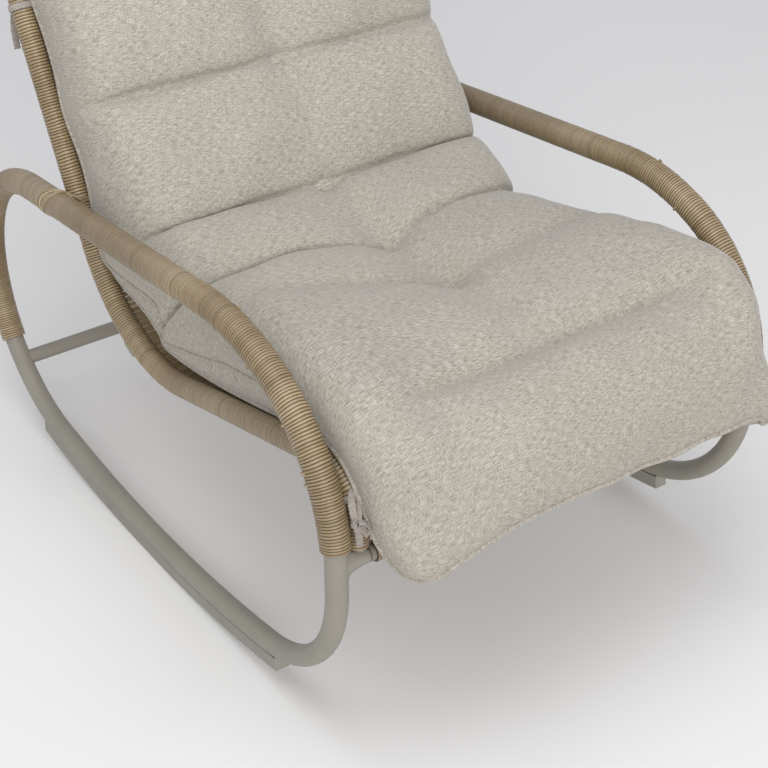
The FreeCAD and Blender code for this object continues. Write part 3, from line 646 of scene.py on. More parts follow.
# cut strand ends that stand out of the windings
stubs = []
for s_mm, ang in ((104.0, 100.0), (118.0, 96.0), (176.0, 95.0), (262.0, 110.0), (330.0, -40.0)):
    for sx in (-1, 1):
        tr = arm_track(sx * hoop_x)
        t = np.linspace(0, 1, 7)
        th = rad(ang) + 0.32 * (t - 0.5)
        th = th if sx < 0 else -th
        pos, tan, nor = tr.at(np.full(7, s_mm) + 1.5 * t)
        r = 17.6 + 2.0 * np.sin(np.clip(t, 0, 0.8) / 0.8 * math.pi / 2)
        # the winding's angle is counted from the normal towards +x; the outer side is at -x on the left
        stubs.append(pos + r[:, None] * (np.cos(th)[:, None] * nor * 1.0 + (-np.sin(th) if sx < 0 else np.sin(-th))[:, None] * tr.b * (1 if sx < 0 else -1)))
strand_object("strand_ends", stubs, 1.5, 71, seg=8, tone=(0.3, 0.8))

# flares where the front bar runs into the legs
def flare(name, sx, node_name):
    na, nw = 40, 14
    al = 2 * math.pi * np.arange(na) / na
    rc = 1 / np.sqrt((np.cos(al) / 12.9) ** 2 + (np.sin(al) / 27.0) ** 2)
    leg = lambda y: -hoop_x + np.sqrt(np.clip(14.0**2 - y * y, 0, None)) - 0.5
    x0, r0 = -286.0, 10.06
    w = np.linspace(0, 1, nw)[:, None]
    xc, xe = leg(r0 * np.cos(al))[None, :], leg(rc * np.cos(al))[None, :]
    px = (1 - w) ** 2 * x0 + 2 * w * (1 - w) * xc + w**2 * xe
    pr = (1 - w) ** 2 * r0 + 2 * w * (1 - w) * r0 + w**2 * rc[None, :]
    px = np.vstack([px, np.full((1, na), -hoop_x + 4.0), np.full((1, na), x0 - 1.0)])
    pr = np.vstack([pr, np.full((1, na), 8.5), np.full((1, na), 8.5)])
    p = np.stack([px * (1 if sx < 0 else -1), pr * np.cos(al)[None, :], 284.0 + pr * np.sin(al)[None, :]], -1)
    v = world(p.reshape(-1, 3))
    o = add_object(name, v, outward(v, grid_quads(len(p), na, close_rows=True, close_cols=True)), PAINT)
    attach(o, "root")
    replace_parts(o, node_name)


for side, sx in (("left", -1), ("right", 1)):
    flare(side + "_front_bar_flare", sx, side + "_front_bar_weld")

# ------------------------------------------------------------------ cushion
def XK(x, table):
    xs, ys = zip(*table)
    return pchip(x, xs, ys)


def sym(tab):
    return [(-x, v) for x, v in reversed(tab) if x > 0] + list(tab)


b5, b6, b7 = back_pt(180, 118), back_pt(345, 100), back_pt(523, 42)
# cross seams and folds, as (x, y) and (x, z) tables; the middle column is pulled in at the tufts
KY = [
    sym([(0, -99), (150, -99), (300, -99)]),
    [(-300, 2), (-240, 8), (-196, 25), (-148, 33), (-100, 34), (0, 33), (150, 34), (200, 31), (235, 20), (265, 6), (300, -2)],
    [(-300, 318), (-230, 318), (-170, 306), (-115, 276), (-60, 248), (-15, 226), (0, 220), (15, 221), (110, 225), (180, 228), (300, 238)],
    sym([(0, 360), (25, 364), (60, 374), (120, 387), (170, 391), (220, 398), (265, 418), (300, 434)]),
    sym([(0, 507), (40, 509), (240, 509), (300, 526)]),
    sym([(0, b5[0] + 6), (60, b5[0]), (300, b5[0] + 8)]),
    sym([(0, b6[0] + 6), (60, b6[0]), (300, b6[0] + 8)]),
    sym([(0, b7[0]), (150, b7[0]), (300, b7[0])]),
]
KZ = [
    [(-300, 305), (-266, 306), (-204, 319), (-166, 328), (-76, 328), (20, 327), (78, 323), (180, 322), (300, 318)],
    [(-300, 476), (-240, 470), (-196, 454), (-148, 446), (-100, 443), (0, 442), (150, 443), (200, 453), (235, 470), (265, 489), (300, 495)],
    [(-300, 448), (-230, 450), (-170, 448), (-115, 447), (-60, 444), (-15, 436), (0, 431), (15, 436), (40, 447), (110, 452), (180, 455), (300, 454)],
    sym([(0, 432), (25, 438), (60, 444), (120, 447), (170, 443), (220, 436), (265, 416), (300, 398)]),
    sym([(0, 465), (40, 468), (240, 468), (300, 458)]),
    sym([(0, b5[1] - 3), (60, b5[1]), (300, b5[1] - 4)]),
    sym([(0, b6[1] - 3), (60, b6[1]), (300, b6[1] - 4)]),
    sym([(0, b7[1]), (150, b7[1]), (300, b7[1])]),
]
BULGE = [
    [(-300, 23), (-240, 33), (-190, 44), (-140, 54), (-90, 56), (0, 56), (120, 56), (180, 50), (240, 36), (300, 23)],
    [(-300, 28), (-230, 30), (-150, 29), (-60, 25), (0, 22), (60, 26), (150, 30), (200, 30), (230, 28), (265, 18), (300, 14)],
    [(-300, 15), (-230, 17), (-130, 19), (-50, 13), (0, 7), (50, 13), (130, 16), (200, 10), (240, 3), (300, 1)],
    sym([(0, 5), (50, 11), (130, 18), (230, 17), (300, 15)]),
    sym([(0, 13), (50, 19), (130, 27), (230, 24), (300, 20)]),
    sym([(0, 11), (50, 17), (130, 25), (230, 23), (300, 20)]),
    sym([(0, 12), (50, 16), (130, 22), (230, 20), (300, 18)]),
]
# swell of the front flap between its front edge and the hinge fold; the others are elliptic
FLAP = ((0, 0), (.03, .17), (.1, .34), (.2, .46), (.35, .64), (.5, .81), (.6, .92), (.68, .985), (.73, 1.0), (.78, .93), (.84, .72), (.9, .46), (.95, .24), (1, 0))
ROWS = [40, 42, 32, 28, 36, 34, 38]
# side seams: upper one with its half width, lower one with its half width, and the underside
bu = {4.5: 60.0, 5.0: 180.0, 6.0: 345.0, 7.0: 520.0}
SEAM = [(0, -98, 303, 287), (.12, -80, 298, 288), (.3, -50, 300, 287), (.47, -24, 311, 288), (.62, -10, 341, 291), (.8, 4, 374, 296),
        (1.0, 28, 402, 299), (1.2, 64, 413, 297), (1.6, 150, 412, 291), (2.0, 240, 397, 287), (2.3, 310, 381, 287), (2.6, 385, 356, 287),
        (2.8, 436, 341, 287), (2.9, 461, 334, 287), (2.96, 471, 332, 286), (3.0, 474, 345, 285), (3.05, 475, 368, 286), (3.09, 481, 383, 287), (3.15, 494, 386, 287),
        (3.3, 522, 383, 288),
        (3.6, 560, 384, 290),
        (3.9, 600, 386, 292), (4.05, 618, 394, 293), (4.2, 631, 416, 292)] + \
       [(t, *back_pt(u, 18.0), 283) for t, u in bu.items()]
LOWER = [(0, -82, 297, 283), (.12, -72, 292, 284), (.3, -46, 293, 282), (.47, -20, 304, 278), (.62, 4, 338, 276), (.8, 20, 366, 276),
         (1.0, 46, 392, 276), (1.2, 78, 397, 277), (1.6, 152, 377, 281), (2.0, 243, 356, 283), (2.3, 304, 342, 283), (2.6, 382, 328, 283),
         (2.85, 442, 320, 282), (2.95, 484, 316, 281), (3.0, 497, 326, 280), (3.08, 510, 344, 281), (3.3, 540, 358, 284), (3.6, 582, 366, 286),
         (3.9, 612, 378, 287), (4.05, 626, 390, 286), (4.2, *back_pt(14, 9.0), 283)] + \
        [(t, *back_pt(u, 6.0), 275) for t, u in bu.items()]


def bend_pt(frac, h):
    a = rad(-104.3 + 78.4 * frac)
    return bend_c[0] + (200 - h) * math.cos(a), bend_c[1] + (200 - h) * math.sin(a)


G = 7.0
UNDER = [(0, -77, 310), (.15, -66, 307), (.35, -46, 312), (.55, -26, 325), (.75, -4, 347), (.9, 18, 373), (1.0, 40, 388), (1.12, *seat_pt(-8, G))] + \
        [(t, *seat_pt(s, G)) for t, s in ((1.4, 45.0), (2.0, 150.0), (2.6, 290.0))] + [(2.8, *bend_pt(0.02, G)), (3.0, *bend_pt(0.25, G)),
        (3.3, *bend_pt(0.5, G)), (3.65, *bend_pt(0.78, G)), (4.0, *back_pt(4, G))] + [(t, *back_pt(u, G)) for t, u in bu.items()]

T = np.concatenate([i + 0.55 * np.arange(n) / n + 0.225 * (1 - np.cos(math.pi * np.arange(n) / n)) for i, n in enumerate(ROWS)] + [[7.0]])
NT = len(T)
row_at = np.concatenate([[0], np.cumsum(ROWS)])
A0, NC, NS, NB = 215.0, 76, 18, 6


def table_t(tab, col):
    a = np.array([r[0] for r in tab], float)
    return np.interp(T, a, [r[col] for r in tab])


def smooth_rows(arr, sig):
    """Gaussian smoothing along the first axis with its own width for every row."""
    n = len(arr)
    i = np.arange(n)
    w = np.exp(-0.5 * ((i[:, None] - i[None, :]) / sig[:, None]) ** 2)
    w /= w.sum(1, keepdims=True)
    return np.tensordot(w, arr, axes=(1, 0))


seam = np.stack([table_t(SEAM, 1), table_t(SEAM, 2), table_t(SEAM, 3)], -1)
low = np.stack([table_t(LOWER, 1), table_t(LOWER, 2), table_t(LOWER, 3)], -1)
under = np.stack([table_t(UNDER, 1), table_t(UNDER, 2)], -1)
s2 = np.full(NT, 2.2)
near2 = np.abs(np.arange(NT) - row_at[3]) < 6
s2[near2] = 0.7
ends = np.minimum(np.arange(NT), NT - 1 - np.arange(NT)) < 3
s2[ends] = 0.35
seam, low, under = smooth_rows(seam, s2), smooth_rows(low, s2), smooth_rows(under, np.where(ends, 0.35, 3.0))
# rounded corners in plan at the front edge and at the top
step = np.linalg.norm(np.diff(seam[:, :2], axis=0), axis=1)
arc = np.concatenate([[0], np.cumsum(step)])
for R, d in ((42.0, arc), (48.0, arc[-1] - arc)):
    cut = np.where(d < R, R - np.sqrt(np.clip(R * R - (R - d) ** 2, 0, None)), 0.0)
    seam[:, 2] -= cut
    low[:, 2] -= cut


def profile(X):
    """Top panel (y, z) for an array X of shape (NT, M)."""
    i = np.minimum((T + 1e-9).astype(int), 6)
    q = (T - i)[:, None]
    ky = np.stack([XK(X, t) for t in KY])
    kz = np.stack([XK(X, t) for t in KZ])
    bl = np.stack([XK(X, t) for t in BULGE])
    r = np.arange(NT)
    y0, y1, z0, z1 = ky[i, r], ky[i + 1, r], kz[i, r], kz[i + 1, r]
    b = bl[i, r]
    ln = np.hypot(y1 - y0, z1 - z0)
    f = np.sqrt(np.clip(1 - (2 * q - 1) ** 2, 0, 1))
    f = np.where(i[:, None] == 0, pchip(q, [a for a, _ in FLAP], [b for _, b in FLAP]), f)
    return np.stack([y0 + q * (y1 - y0) - (z1 - z0) / ln * b * f, z0 + q * (z1 - z0) + (y1 - y0) / ln * b * f], -1)


# columns of the top panel: even in the middle, closer on the rounded shoulders
phi = np.linspace(0, math.pi / 2, NS + 1)[1:]
cols_sign, cols_kind = [], []
X = np.zeros((NT, NC + 1 + 2 * NS))
Wt = np.zeros_like(X)
centre = np.linspace(-A0, A0, NC + 1)
half = seam[:, 2]
a0 = np.minimum(A0, half - 60.0)
for j in range(NS):
    p = phi[NS - 1 - j]
    X[:, j] = -(a0 + (half - a0) * math.sin(p) ** 0.571)
    Wt[:, j] = math.cos(p) ** 0.571
    X[:, NS + NC + 1 + (NS - 1 - j)] = a0 + (half - a0) * math.sin(p) ** 0.571
    Wt[:, NS + NC + 1 + (NS - 1 - j)] = math.cos(p) ** 0.571
for j in range(NC + 1):
    X[:, NS + j] = centre[j] / A0 * a0
    Wt[:, NS + j] = 1.0
sig = np.full(NT, 0.9)
for k, s_row, half_w in ((1, 0.35, 3), (2, 2.2, 8), (3, 0.75, 4), (4, 0.6, 4), (5, 0.8, 5), (6, 0.8, 5)):
    d = np.abs(np.arange(NT) - row_at[k])
    sig = np.where(d < half_w, np.maximum(0.35, s_row * (1 - d / half_w) + 0.9 * d / half_w), sig)
sig[:2], sig[-2:] = 0.3, 0.3
MID = smooth_rows(profile(X), sig)
# dimples at the tufts on the middle line
row_no = np.arange(NT)[:, None]
dist_along = np.concatenate([[0], np.cumsum(np.linalg.norm(np.diff(MID[:, MID.shape[1] // 2], axis=0), axis=1))])
nrm = np.gradient(MID, axis=0)
nrm /= np.linalg.norm(nrm, axis=2)[..., None] + 1e-9
nrm = np.stack([-nrm[..., 1], nrm[..., 0]], -1)
for k, dep, ra in ((2, 7.0, 26.0), (3, 8.0, 20.0), (4, 9.0, 18.0), (5, 10.0, 20.0), (6, 10.0, 20.0)):
    rho2 = X**2 + (dist_along[:, None] - dist_along[row_at[k]]) ** 2
    MID = MID - nrm * (dep * np.exp(-rho2 / ra**2))[..., None]
for k, dep, wd in ((3, 4.0, 4.0), (4, 4.0, 3.5), (5, 4.0, 4.0), (6, 4.0, 4.0)):
    d2 = (dist_along - dist_along[row_at[k]]) ** 2
    MID = MID - nrm * (dep * np.exp(-d2 / wd**2)[:, None] * np.clip((298 - np.abs(X)) / 30, 0, 1))[..., None]
notch = np.exp(-((arc - arc[row_at[3]]) / 8.0) ** 2)
TOP2 = seam[:, None, :2] + Wt[..., None] * (MID - seam[:, None, :2])
TOPX = X + np.sign(X) * 7.0 * 4 * Wt * (1 - Wt) * np.clip((half[:, None] - 200) / 60, 0, 1)
TOPX -= np.sign(X) * 9.0 * notch[:, None] * np.clip((np.abs(X) - 225) / 45, 0, 1)
low[:, 2] -= 5.0 * notch
top = np.concatenate([TOPX[..., None], TOP2], -1)
NCOL = top.shape[1]
# underside, with the same columns
ratio = X / half[:, None]
e = np.clip((np.abs(ratio) - 0.9) / 0.1, 0, 1) ** 2
bot = np.concatenate([(ratio * low[:, 2:3])[..., None], under[:, None, :] + e[..., None] * (low[:, None, :2] - under[:, None, :])], -1)
# side bands between the two seams
bands = []
for sgn, jt in ((1, NCOL - 1), (-1, 0)):
    b = []
    for k in range(1, NB):
        q = k / NB
        p = top[:, jt] * (1 - q) + bot[:, jt] * q
        p = p.copy()
        p[:, 0] += sgn * 3.5 * math.sin(math.pi * q)
        b.append(p)
    bands.append(np.stack(b, 1))
ring = np.concatenate([top, bands[0], bot[:, ::-1], bands[1][:, ::-1]], 1)   # closed round every row
M = ring.shape[1]
v = ring.reshape(-1, 3)
quads = [grid_quads(NT, M, close_cols=True)]
ti = np.arange(NCOL)
bi = NCOL + (NB - 1) + (NCOL - 1 - ti)
rb = NCOL + np.arange(NB - 1)                     # right band, downwards
lb = NCOL + (NB - 1) + NCOL + (NB - 2 - np.arange(NB - 1))   # left band, downwards
extra = []
for row in (0, NT - 1):
    base = row * M
    grid = np.zeros((NB + 1, NCOL), int)
    grid[0], grid[NB] = base + ti, base + bi
    for k in range(1, NB):
        q = k / NB
        n0 = len(v) + sum(len(x) for x in extra)
        pts = ring[row, ti] * (1 - q) + ring[row, bi] * q
        push = 3.0 * math.sin(math.pi * q)
        d = (ring[0, NCOL // 2] - ring[2, NCOL // 2]) if row == 0 else (ring[-1, NCOL // 2] - ring[-3, NCOL // 2])
        d = d * np.array([0, 1, 1])
        pts = pts + push * d / (np.linalg.norm(d) + 1e-9)
        extra.append(pts[1:-1])
        grid[k, 1:-1] = n0 + np.arange(NCOL - 2)
        grid[k, 0], grid[k, -1] = base + lb[k - 1], base + rb[k - 1]
    g = np.stack([grid[:-1, :-1], grid[:-1, 1:], grid[1:, 1:], grid[1:, :-1]], -1).reshape(-1, 4)
    quads.append(g if row == NT - 1 else g[:, ::-1])
v = np.concatenate([v] + extra)
quads = np.concatenate(quads)
base_v = world(v)
quads = outward(base_v, quads)
cushion = add_object("cushion", base_v, quads, FABRIC)

# cloth coordinates in metres for the weave: across from the middle, along from the front edge
along = np.concatenate([[0], np.cumsum(np.linalg.norm(np.diff(MID[:, NCOL // 2 + 12], axis=0), axis=1))])
across = np.concatenate([[0], np.cumsum(np.linalg.norm(np.diff(ring[row_at[2]], axis=0), axis=1))])
across = across - across[NCOL // 2]
uvv = np.zeros((len(v), 2))
uvv[:NT * M, 0] = np.tile(across, NT) / 1000.0
uvv[:NT * M, 1] = np.repeat(along, M) / 1000.0
uvv[NT * M:, 0] = v[NT * M:, 0] / 1000.0
uvv[NT * M:, 1] = (v[NT * M:, 2] * 1.0) / 1000.0
uvl = cushion.data.uv_layers.new(name="cloth")
li = np.zeros(len(cushion.data.loops), int)
cushion.data.loops.foreach_get("vertex_index", li)
luv = uvv[li].reshape(-1, 4, 2)
wide = luv[..., 0].max(1) - luv[..., 0].min(1) > 0.3
fix = luv[wide]
fix[..., 0] = np.where(fix[..., 0] < fix[..., 0].max(1, keepdims=True) - 0.3, fix[..., 0] + (across[-1] - across[0]) / 1000.0 + 0.006, fix[..., 0])
luv[wide] = fix
uvl.data.foreach_set("uv", luv.reshape(-1))

# filled by simulation: pressure swells the panels, the seams, folds and tufts hold them
vg = cushion.vertex_groups.new(name="hold")
hold = np.zeros(len(v))
hold2 = np.zeros((NT, M))
hold2[:, NCOL + NB - 1:NCOL + NB - 1 + NCOL] = 1.0           # underside lies on the weave
hold2[:, 0] = hold2[:, NCOL - 1] = 0.9
for k, wgt in ((1, 0.75), (2, 0.7), (3, 0.9), (4, 0.95), (5, 0.9), (6, 0.9)):
    hold2[row_at[k], 4:NCOL - 4] = np.maximum(hold2[row_at[k], 4:NCOL - 4], wgt)
    hold2[row_at[k], NCOL // 2 - 2:NCOL // 2 + 3] = 1.0
hold2[0], hold2[-1] = 1.0, 1.0
hold[:NT * M] = hold2.ravel()
hold[NT * M:] = 0.6
for wgt in np.unique(hold):
    if wgt > 0:
        vg.add(np.where(hold == wgt)[0].tolist(), float(wgt), "REPLACE")
md = cushion.modifiers.new("fill", "CLOTH")
st = md.settings
st.quality = 4
st.mass = 0.3
st.tension_stiffness = st.compression_stiffness = 18.0
st.shear_stiffness = 8.0
st.bending_stiffness = 0.6
st.air_damping = 2.0
st.tension_damping = st.compression_damping = 12.0
st.vertex_group_mass = "hold"
st.pin_stiffness = 1.0
st.use_pressure = True
st.uniform_pressure_force = 3.5
st.effector_weights.gravity = 0.0
md.collision_settings.use_collision = False
md.collision_settings.use_self_collision = False
for fr in range(1, 11):
    scene.frame_set(fr)
dg = bpy.context.evaluated_depsgraph_get()
ev = cushion.evaluated_get(dg).to_mesh()
sim = np.zeros(len(v) * 3, np.float32)
ev.vertices.foreach_get("co", sim)
sim = sim.reshape(-1, 3).astype(float)
cushion.evaluated_get(dg).to_mesh_clear()
cushion.modifiers.remove(md)
scene.frame_set(1)
move = sim - base_v
ln = np.linalg.norm(move, axis=1)
cap = 0.012
move *= np.minimum(1.0, cap / np.maximum(ln, 1e-9))[:, None]
base_v = base_v + move
print("cushion fill: mean move %.1f mm, most %.1f mm" % (1000 * ln.mean(), 1000 * ln.max()))


def vertex_normals(vv, ff):
    n = np.zeros_like(vv)
    a, b, c, d = (vv[ff[:, k]] for k in range(4))
    fn = np.cross(c - a, d - b)
    for k in range(4):
        np.add.at(n, ff[:, k], fn)
    return n / (np.linalg.norm(n, axis=1)[:, None] + 1e-12)


# small unevenness of the fill and puckers along the seams
vn = vertex_normals(base_v, quads)
crng = np.random.default_rng(17)
lump = np.zeros(len(v))
for _ in range(26):
    kx, ky, kz = crng.normal(0, 1, 3) * 34.0
    lump += np.sin(base_v[:, 0] * kx + base_v[:, 1] * ky + base_v[:, 2] * kz + crng.random() * 6.28)
lump *= 0.00034
puck = np.zeros((NT, M))
s_al = along[:, None]
for jc, sgn in ((0, 1), (NCOL - 1, -1)):
    cidx = np.arange(NCOL)
    dist = np.abs(cidx - jc)
    fall = np.exp(-dist / 3.5) * (dist > 0)
    wav = np.sin(s_al / 13.0 + 1.7 * np.sin(s_al / 41.0)) * 0.6 + np.sin(s_al / 29.0 + jc) * 0.8
    puck[:, :NCOL] += wav * fall[None, :] * 1.1
full = np.zeros(len(v))
full[:NT * M] = puck.ravel() / 1000.0
top_mask = np.zeros((NT, M))
top_mask[:, :NCOL] = 1.0
tm = np.zeros(len(v))
tm[:NT * M] = top_mask.ravel()
# short wrinkles in the cover, beside the front tuft and across the hinge fold
for (xa, ya), (xb, yb), dep, wd in (((-27, 134), (-25, 58), 3.0, 8.0), ((107, 16), (87, -40), 2.6, 6.5), ((-21, 26), (-28, -16), 2.2, 6.5)):
    ab = np.array([xb - xa, yb - ya], float)
    rel_xy = v[:, :2] - np.array([xa, ya])
    q = np.clip(rel_xy @ ab / (ab @ ab), 0, 1)
    d = np.linalg.norm(rel_xy - q[:, None] * ab, axis=1)
    full -= tm * dep / 1000.0 * np.exp(-(d / wd) ** 2) * (0.35 + 0.65 * np.sin(math.pi * q))
base_v = base_v + vn * (lump * tm + full)[:, None]
cushion.data.vertices.foreach_set("co", base_v.astype(np.float32).ravel())
cushion.data.update()
sub = cushion.modifiers.new("smooth", "SUBSURF")
sub.levels = sub.render_levels = 1
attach(cushion, "root")
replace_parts(cushion, "cushion_cover", "cushion_fill")

# flat welts on the upper and lower seams
ringv = base_v[:NT * M].reshape(NT, M, 3)
nrv = vertex_normals(base_v, quads)[:NT * M].reshape(NT, M, 3)


def welt(name, pts, nor, wide=3.5, thick=2.5, seg=10):
    """A sewn welt along a closed line of seam points: a soft oval cord covered in the fabric."""
    p = np.asarray(pts)
    keep = np.concatenate([[True], np.linalg.norm(np.diff(p, axis=0), axis=1) > 0.0012])
    p, nn = p[keep], np.asarray(nor)[keep]
    for _ in range(2):
        p = 0.25 * np.roll(p, 1, 0) + 0.5 * p + 0.25 * np.roll(p, -1, 0)
        nn = 0.25 * np.roll(nn, 1, 0) + 0.5 * nn + 0.25 * np.roll(nn, -1, 0)
    t = np.roll(p, -1, 0) - np.roll(p, 1, 0)
    t /= np.linalg.norm(t, axis=1)[:, None]
    nn -= t * np.sum(nn * t, 1)[:, None]
    nn /= np.linalg.norm(nn, axis=1)[:, None]
    bb = np.cross(t, nn)
    th = 2 * math.pi * np.arange(seg) / seg
    c = p + nn * 0.0004
    ringw = c[:, None, :] + (wide / 1000 * np.cos(th)[None, :, None] * nn[:, None, :] + thick / 1000 * np.sin(th)[None, :, None] * bb[:, None, :])
    vv = ringw.reshape(-1, 3)
    ff = outward(vv, grid_quads(len(p), seg, close_rows=True, close_cols=True))
    o = add_object(name, vv, ff, FABRIC)
    al = np.concatenate([[0], np.cumsum(np.linalg.norm(np.diff(p, axis=0), axis=1))])
    uu = np.zeros((len(vv), 2))
    uu[:, 1] = np.repeat(al, seg)
    uu[:, 0] = np.tile(np.arange(seg) * 0.0021, len(p))
    ul = o.data.uv_layers.new(name="cloth")
    lidx = np.zeros(len(o.data.loops), int)
    o.data.loops.foreach_get("vertex_index", lidx)
    ul.data.foreach_set("uv", uu[lidx].ravel())
    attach(o, "root")
    return o


def loop_of(jl, jr, row_idx):
    """Seam line: up the left side, over the top end, down the right side and along the front."""
    left, rightc = ringv[:, jl], ringv[:, jr]
    end, front = ringv[-1, row_idx], ringv[0, row_idx]
    pts = np.concatenate([left[:-1], end, rightc[::-1][1:-1], front[::-1][:-1]])
    nl, nr = nrv[:, jl], nrv[:, jr]
    nn = np.concatenate([nl[:-1], nrv[-1, row_idx], nr[::-1][1:-1], nrv[0, row_idx][::-1][:-1]])
    return pts, nn


welt("cushion_upper_welt", *loop_of(0, NCOL - 1, ti))
welt("cushion_lower_welt", *loop_of(bi[0], bi[-1], bi), wide=2.9, thick=2.1)

# tuft tabs: a small folded square of the fabric sewn down at each tuft
tv, tf, tuv = [], [], []
for k in (2, 3, 4, 5, 6):
    r0 = row_at[k]
    wu, wv, lift = (0.0155, 0.0115, 0.0075) if k == 4 else (0.0105, 0.0085, 0.003)
    c = ringv[r0, NCOL // 2]
    nn = nrv[r0, NCOL // 2]
    tx = np.array([1.0, 0, 0])
    tx = tx - nn * tx.dot(nn)
    tx /= np.linalg.norm(tx)
    ty = np.cross(nn, tx)
    n = 9
    g = np.linspace(-1, 1, n)
    U, Vv = np.meshgrid(g, g, indexing="ij")
    sq = np.maximum(np.abs(U), np.abs(Vv))
    hgt = 0.0042 * (1 - sq**4) - 0.0022 * np.exp(-(U**2 + Vv**2) / 0.08) + 0.0006 * np.sin(U * 5 + k) * np.cos(Vv * 4)
    ru = np.sqrt(np.clip(1 - 0.35 * Vv**2, 0, 1))
    rv = np.sqrt(np.clip(1 - 0.35 * U**2, 0, 1))
    P = c + (U * ru * wu)[..., None] * tx + (Vv * rv * wv)[..., None] * ty + (hgt + lift)[..., None] * nn
    n0 = len(tv)
    Q = P - (0.0035 + 0.0 * hgt)[..., None] * nn
    for arr in (P, Q):
        tv.extend(arr.reshape(-1, 3).tolist())
        tuv.extend(np.stack([U * 0.0105 + k * 0.05, Vv * 0.0085], -1).reshape(-1, 2).tolist())
    gq = grid_quads(n, n)
    tf.extend((gq + n0).tolist())
    tf.extend((gq[:, ::-1] + n0 + n * n).tolist())
    rim = [i * n for i in range(n)] + [(n - 1) * n + j for j in range(1, n)] + [i * n + n - 1 for i in range(n - 2, -1, -1)] + [j for j in range(n - 2, 0, -1)]
    for a, b in zip(rim, rim[1:] + rim[:1]):
        tf.append([n0 + b, n0 + a, n0 + n * n + a, n0 + n * n + b])
tv = np.array(tv)
tf = np.array(tf)
tufts = add_object("tuft_tabs_sewn", tv, outward(tv, tf), FABRIC)
ul = tufts.data.uv_layers.new(name="cloth")
lidx = np.zeros(len(tufts.data.loops), int)
tufts.data.loops.foreach_get("vertex_index", lidx)
ul.data.foreach_set("uv", np.array(tuv)[lidx].ravel())
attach(tufts, "root")
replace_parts(tufts, "tuft_tabs")

# ------------------------------------------------------------------ fabric ties
def spline(pts, n):
    """Catmull-Rom through the points."""
    p = np.asarray(pts, float)
    p = np.vstack([2 * p[0] - p[1], p, 2 * p[-1] - p[-2]])
    out = []
    m = len(p) - 3
    for t in np.linspace(0, m - 1e-6, n):
        i = int(t)
        q = t - i
        a, b, c, d = p[i:i + 4]
        out.append(0.5 * (2 * b + (c - a) * q + (2 * a - 5 * b + 4 * c - d) * q * q + (3 * b - a - 3 * c + d) * q**3))
    return np.array(out)


def strap(paths, width, thick):
    """Flat sewn straps: each path is (points, side directions), swept with a soft oval section."""
    V, F, UV, n0 = [], [], [], 0
    seg = 12
    th = 2 * math.pi * np.arange(seg) / seg
    ox = np.sign(np.cos(th)) * np.abs(np.cos(th)) ** 0.6
    oy = np.sign(np.sin(th)) * np.abs(np.sin(th)) ** 0.8
    for pts, side in paths:
        n = max(16, 9 * len(pts))
        p = spline(pts, n)
        sd = spline(side, n)
        t = np.gradient(p, axis=0)
        t /= np.linalg.norm(t, axis=1)[:, None]
        sd = sd - t * np.sum(sd * t, 1)[:, None]
        sd /= np.linalg.norm(sd, axis=1)[:, None]
        nn = np.cross(t, sd)
        wob = 1 + 0.07 * np.sin(np.arange(n) * 0.9)
        rg = p[:, None, :] + (0.5 * width * wob[:, None, None] * ox[None, :, None] * sd[:, None, :] + 0.5 * thick * oy[None, :, None] * nn[:, None, :])
        V.append(rg.reshape(-1, 3))
        al = np.concatenate([[0], np.cumsum(np.linalg.norm(np.diff(p, axis=0), axis=1))]) / 1000
        UV.append(np.stack([np.repeat(al, seg), np.tile(np.arange(seg) * 0.002, n)], -1))
        F.append(grid_quads(n, seg, close_cols=True) + n0)
        for base, flip in ((n0, True), (n0 + (n - 1) * seg, False)):
            q = np.array([[base + i, base + i + 1, base + seg - 2 - i, base + seg - 1 - i] for i in range(seg // 2 - 1)])
            F.append(q[:, ::-1] if flip else q)
        n0 += n * seg
    return np.concatenate(V), np.concatenate(F), np.concatenate(UV)


def make_tie(name, paths, sx, node_name, width=8.8, thick=2.4):
    vv, ff, uv = strap(paths, width, thick)
    if sx > 0:
        vv = vv * np.array([-1, 1, 1])
    vv = world(vv)
    o = add_object(name, vv, outward(vv, ff), TIE)
    u = o.data.uv_layers.new(name="cloth")
    idx = np.zeros(len(o.data.loops), int)
    o.data.loops.foreach_get("vertex_index", idx)
    u.data.foreach_set("uv", uv[idx].ravel())
    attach(o, "root")
    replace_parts(o, node_name)
    return o


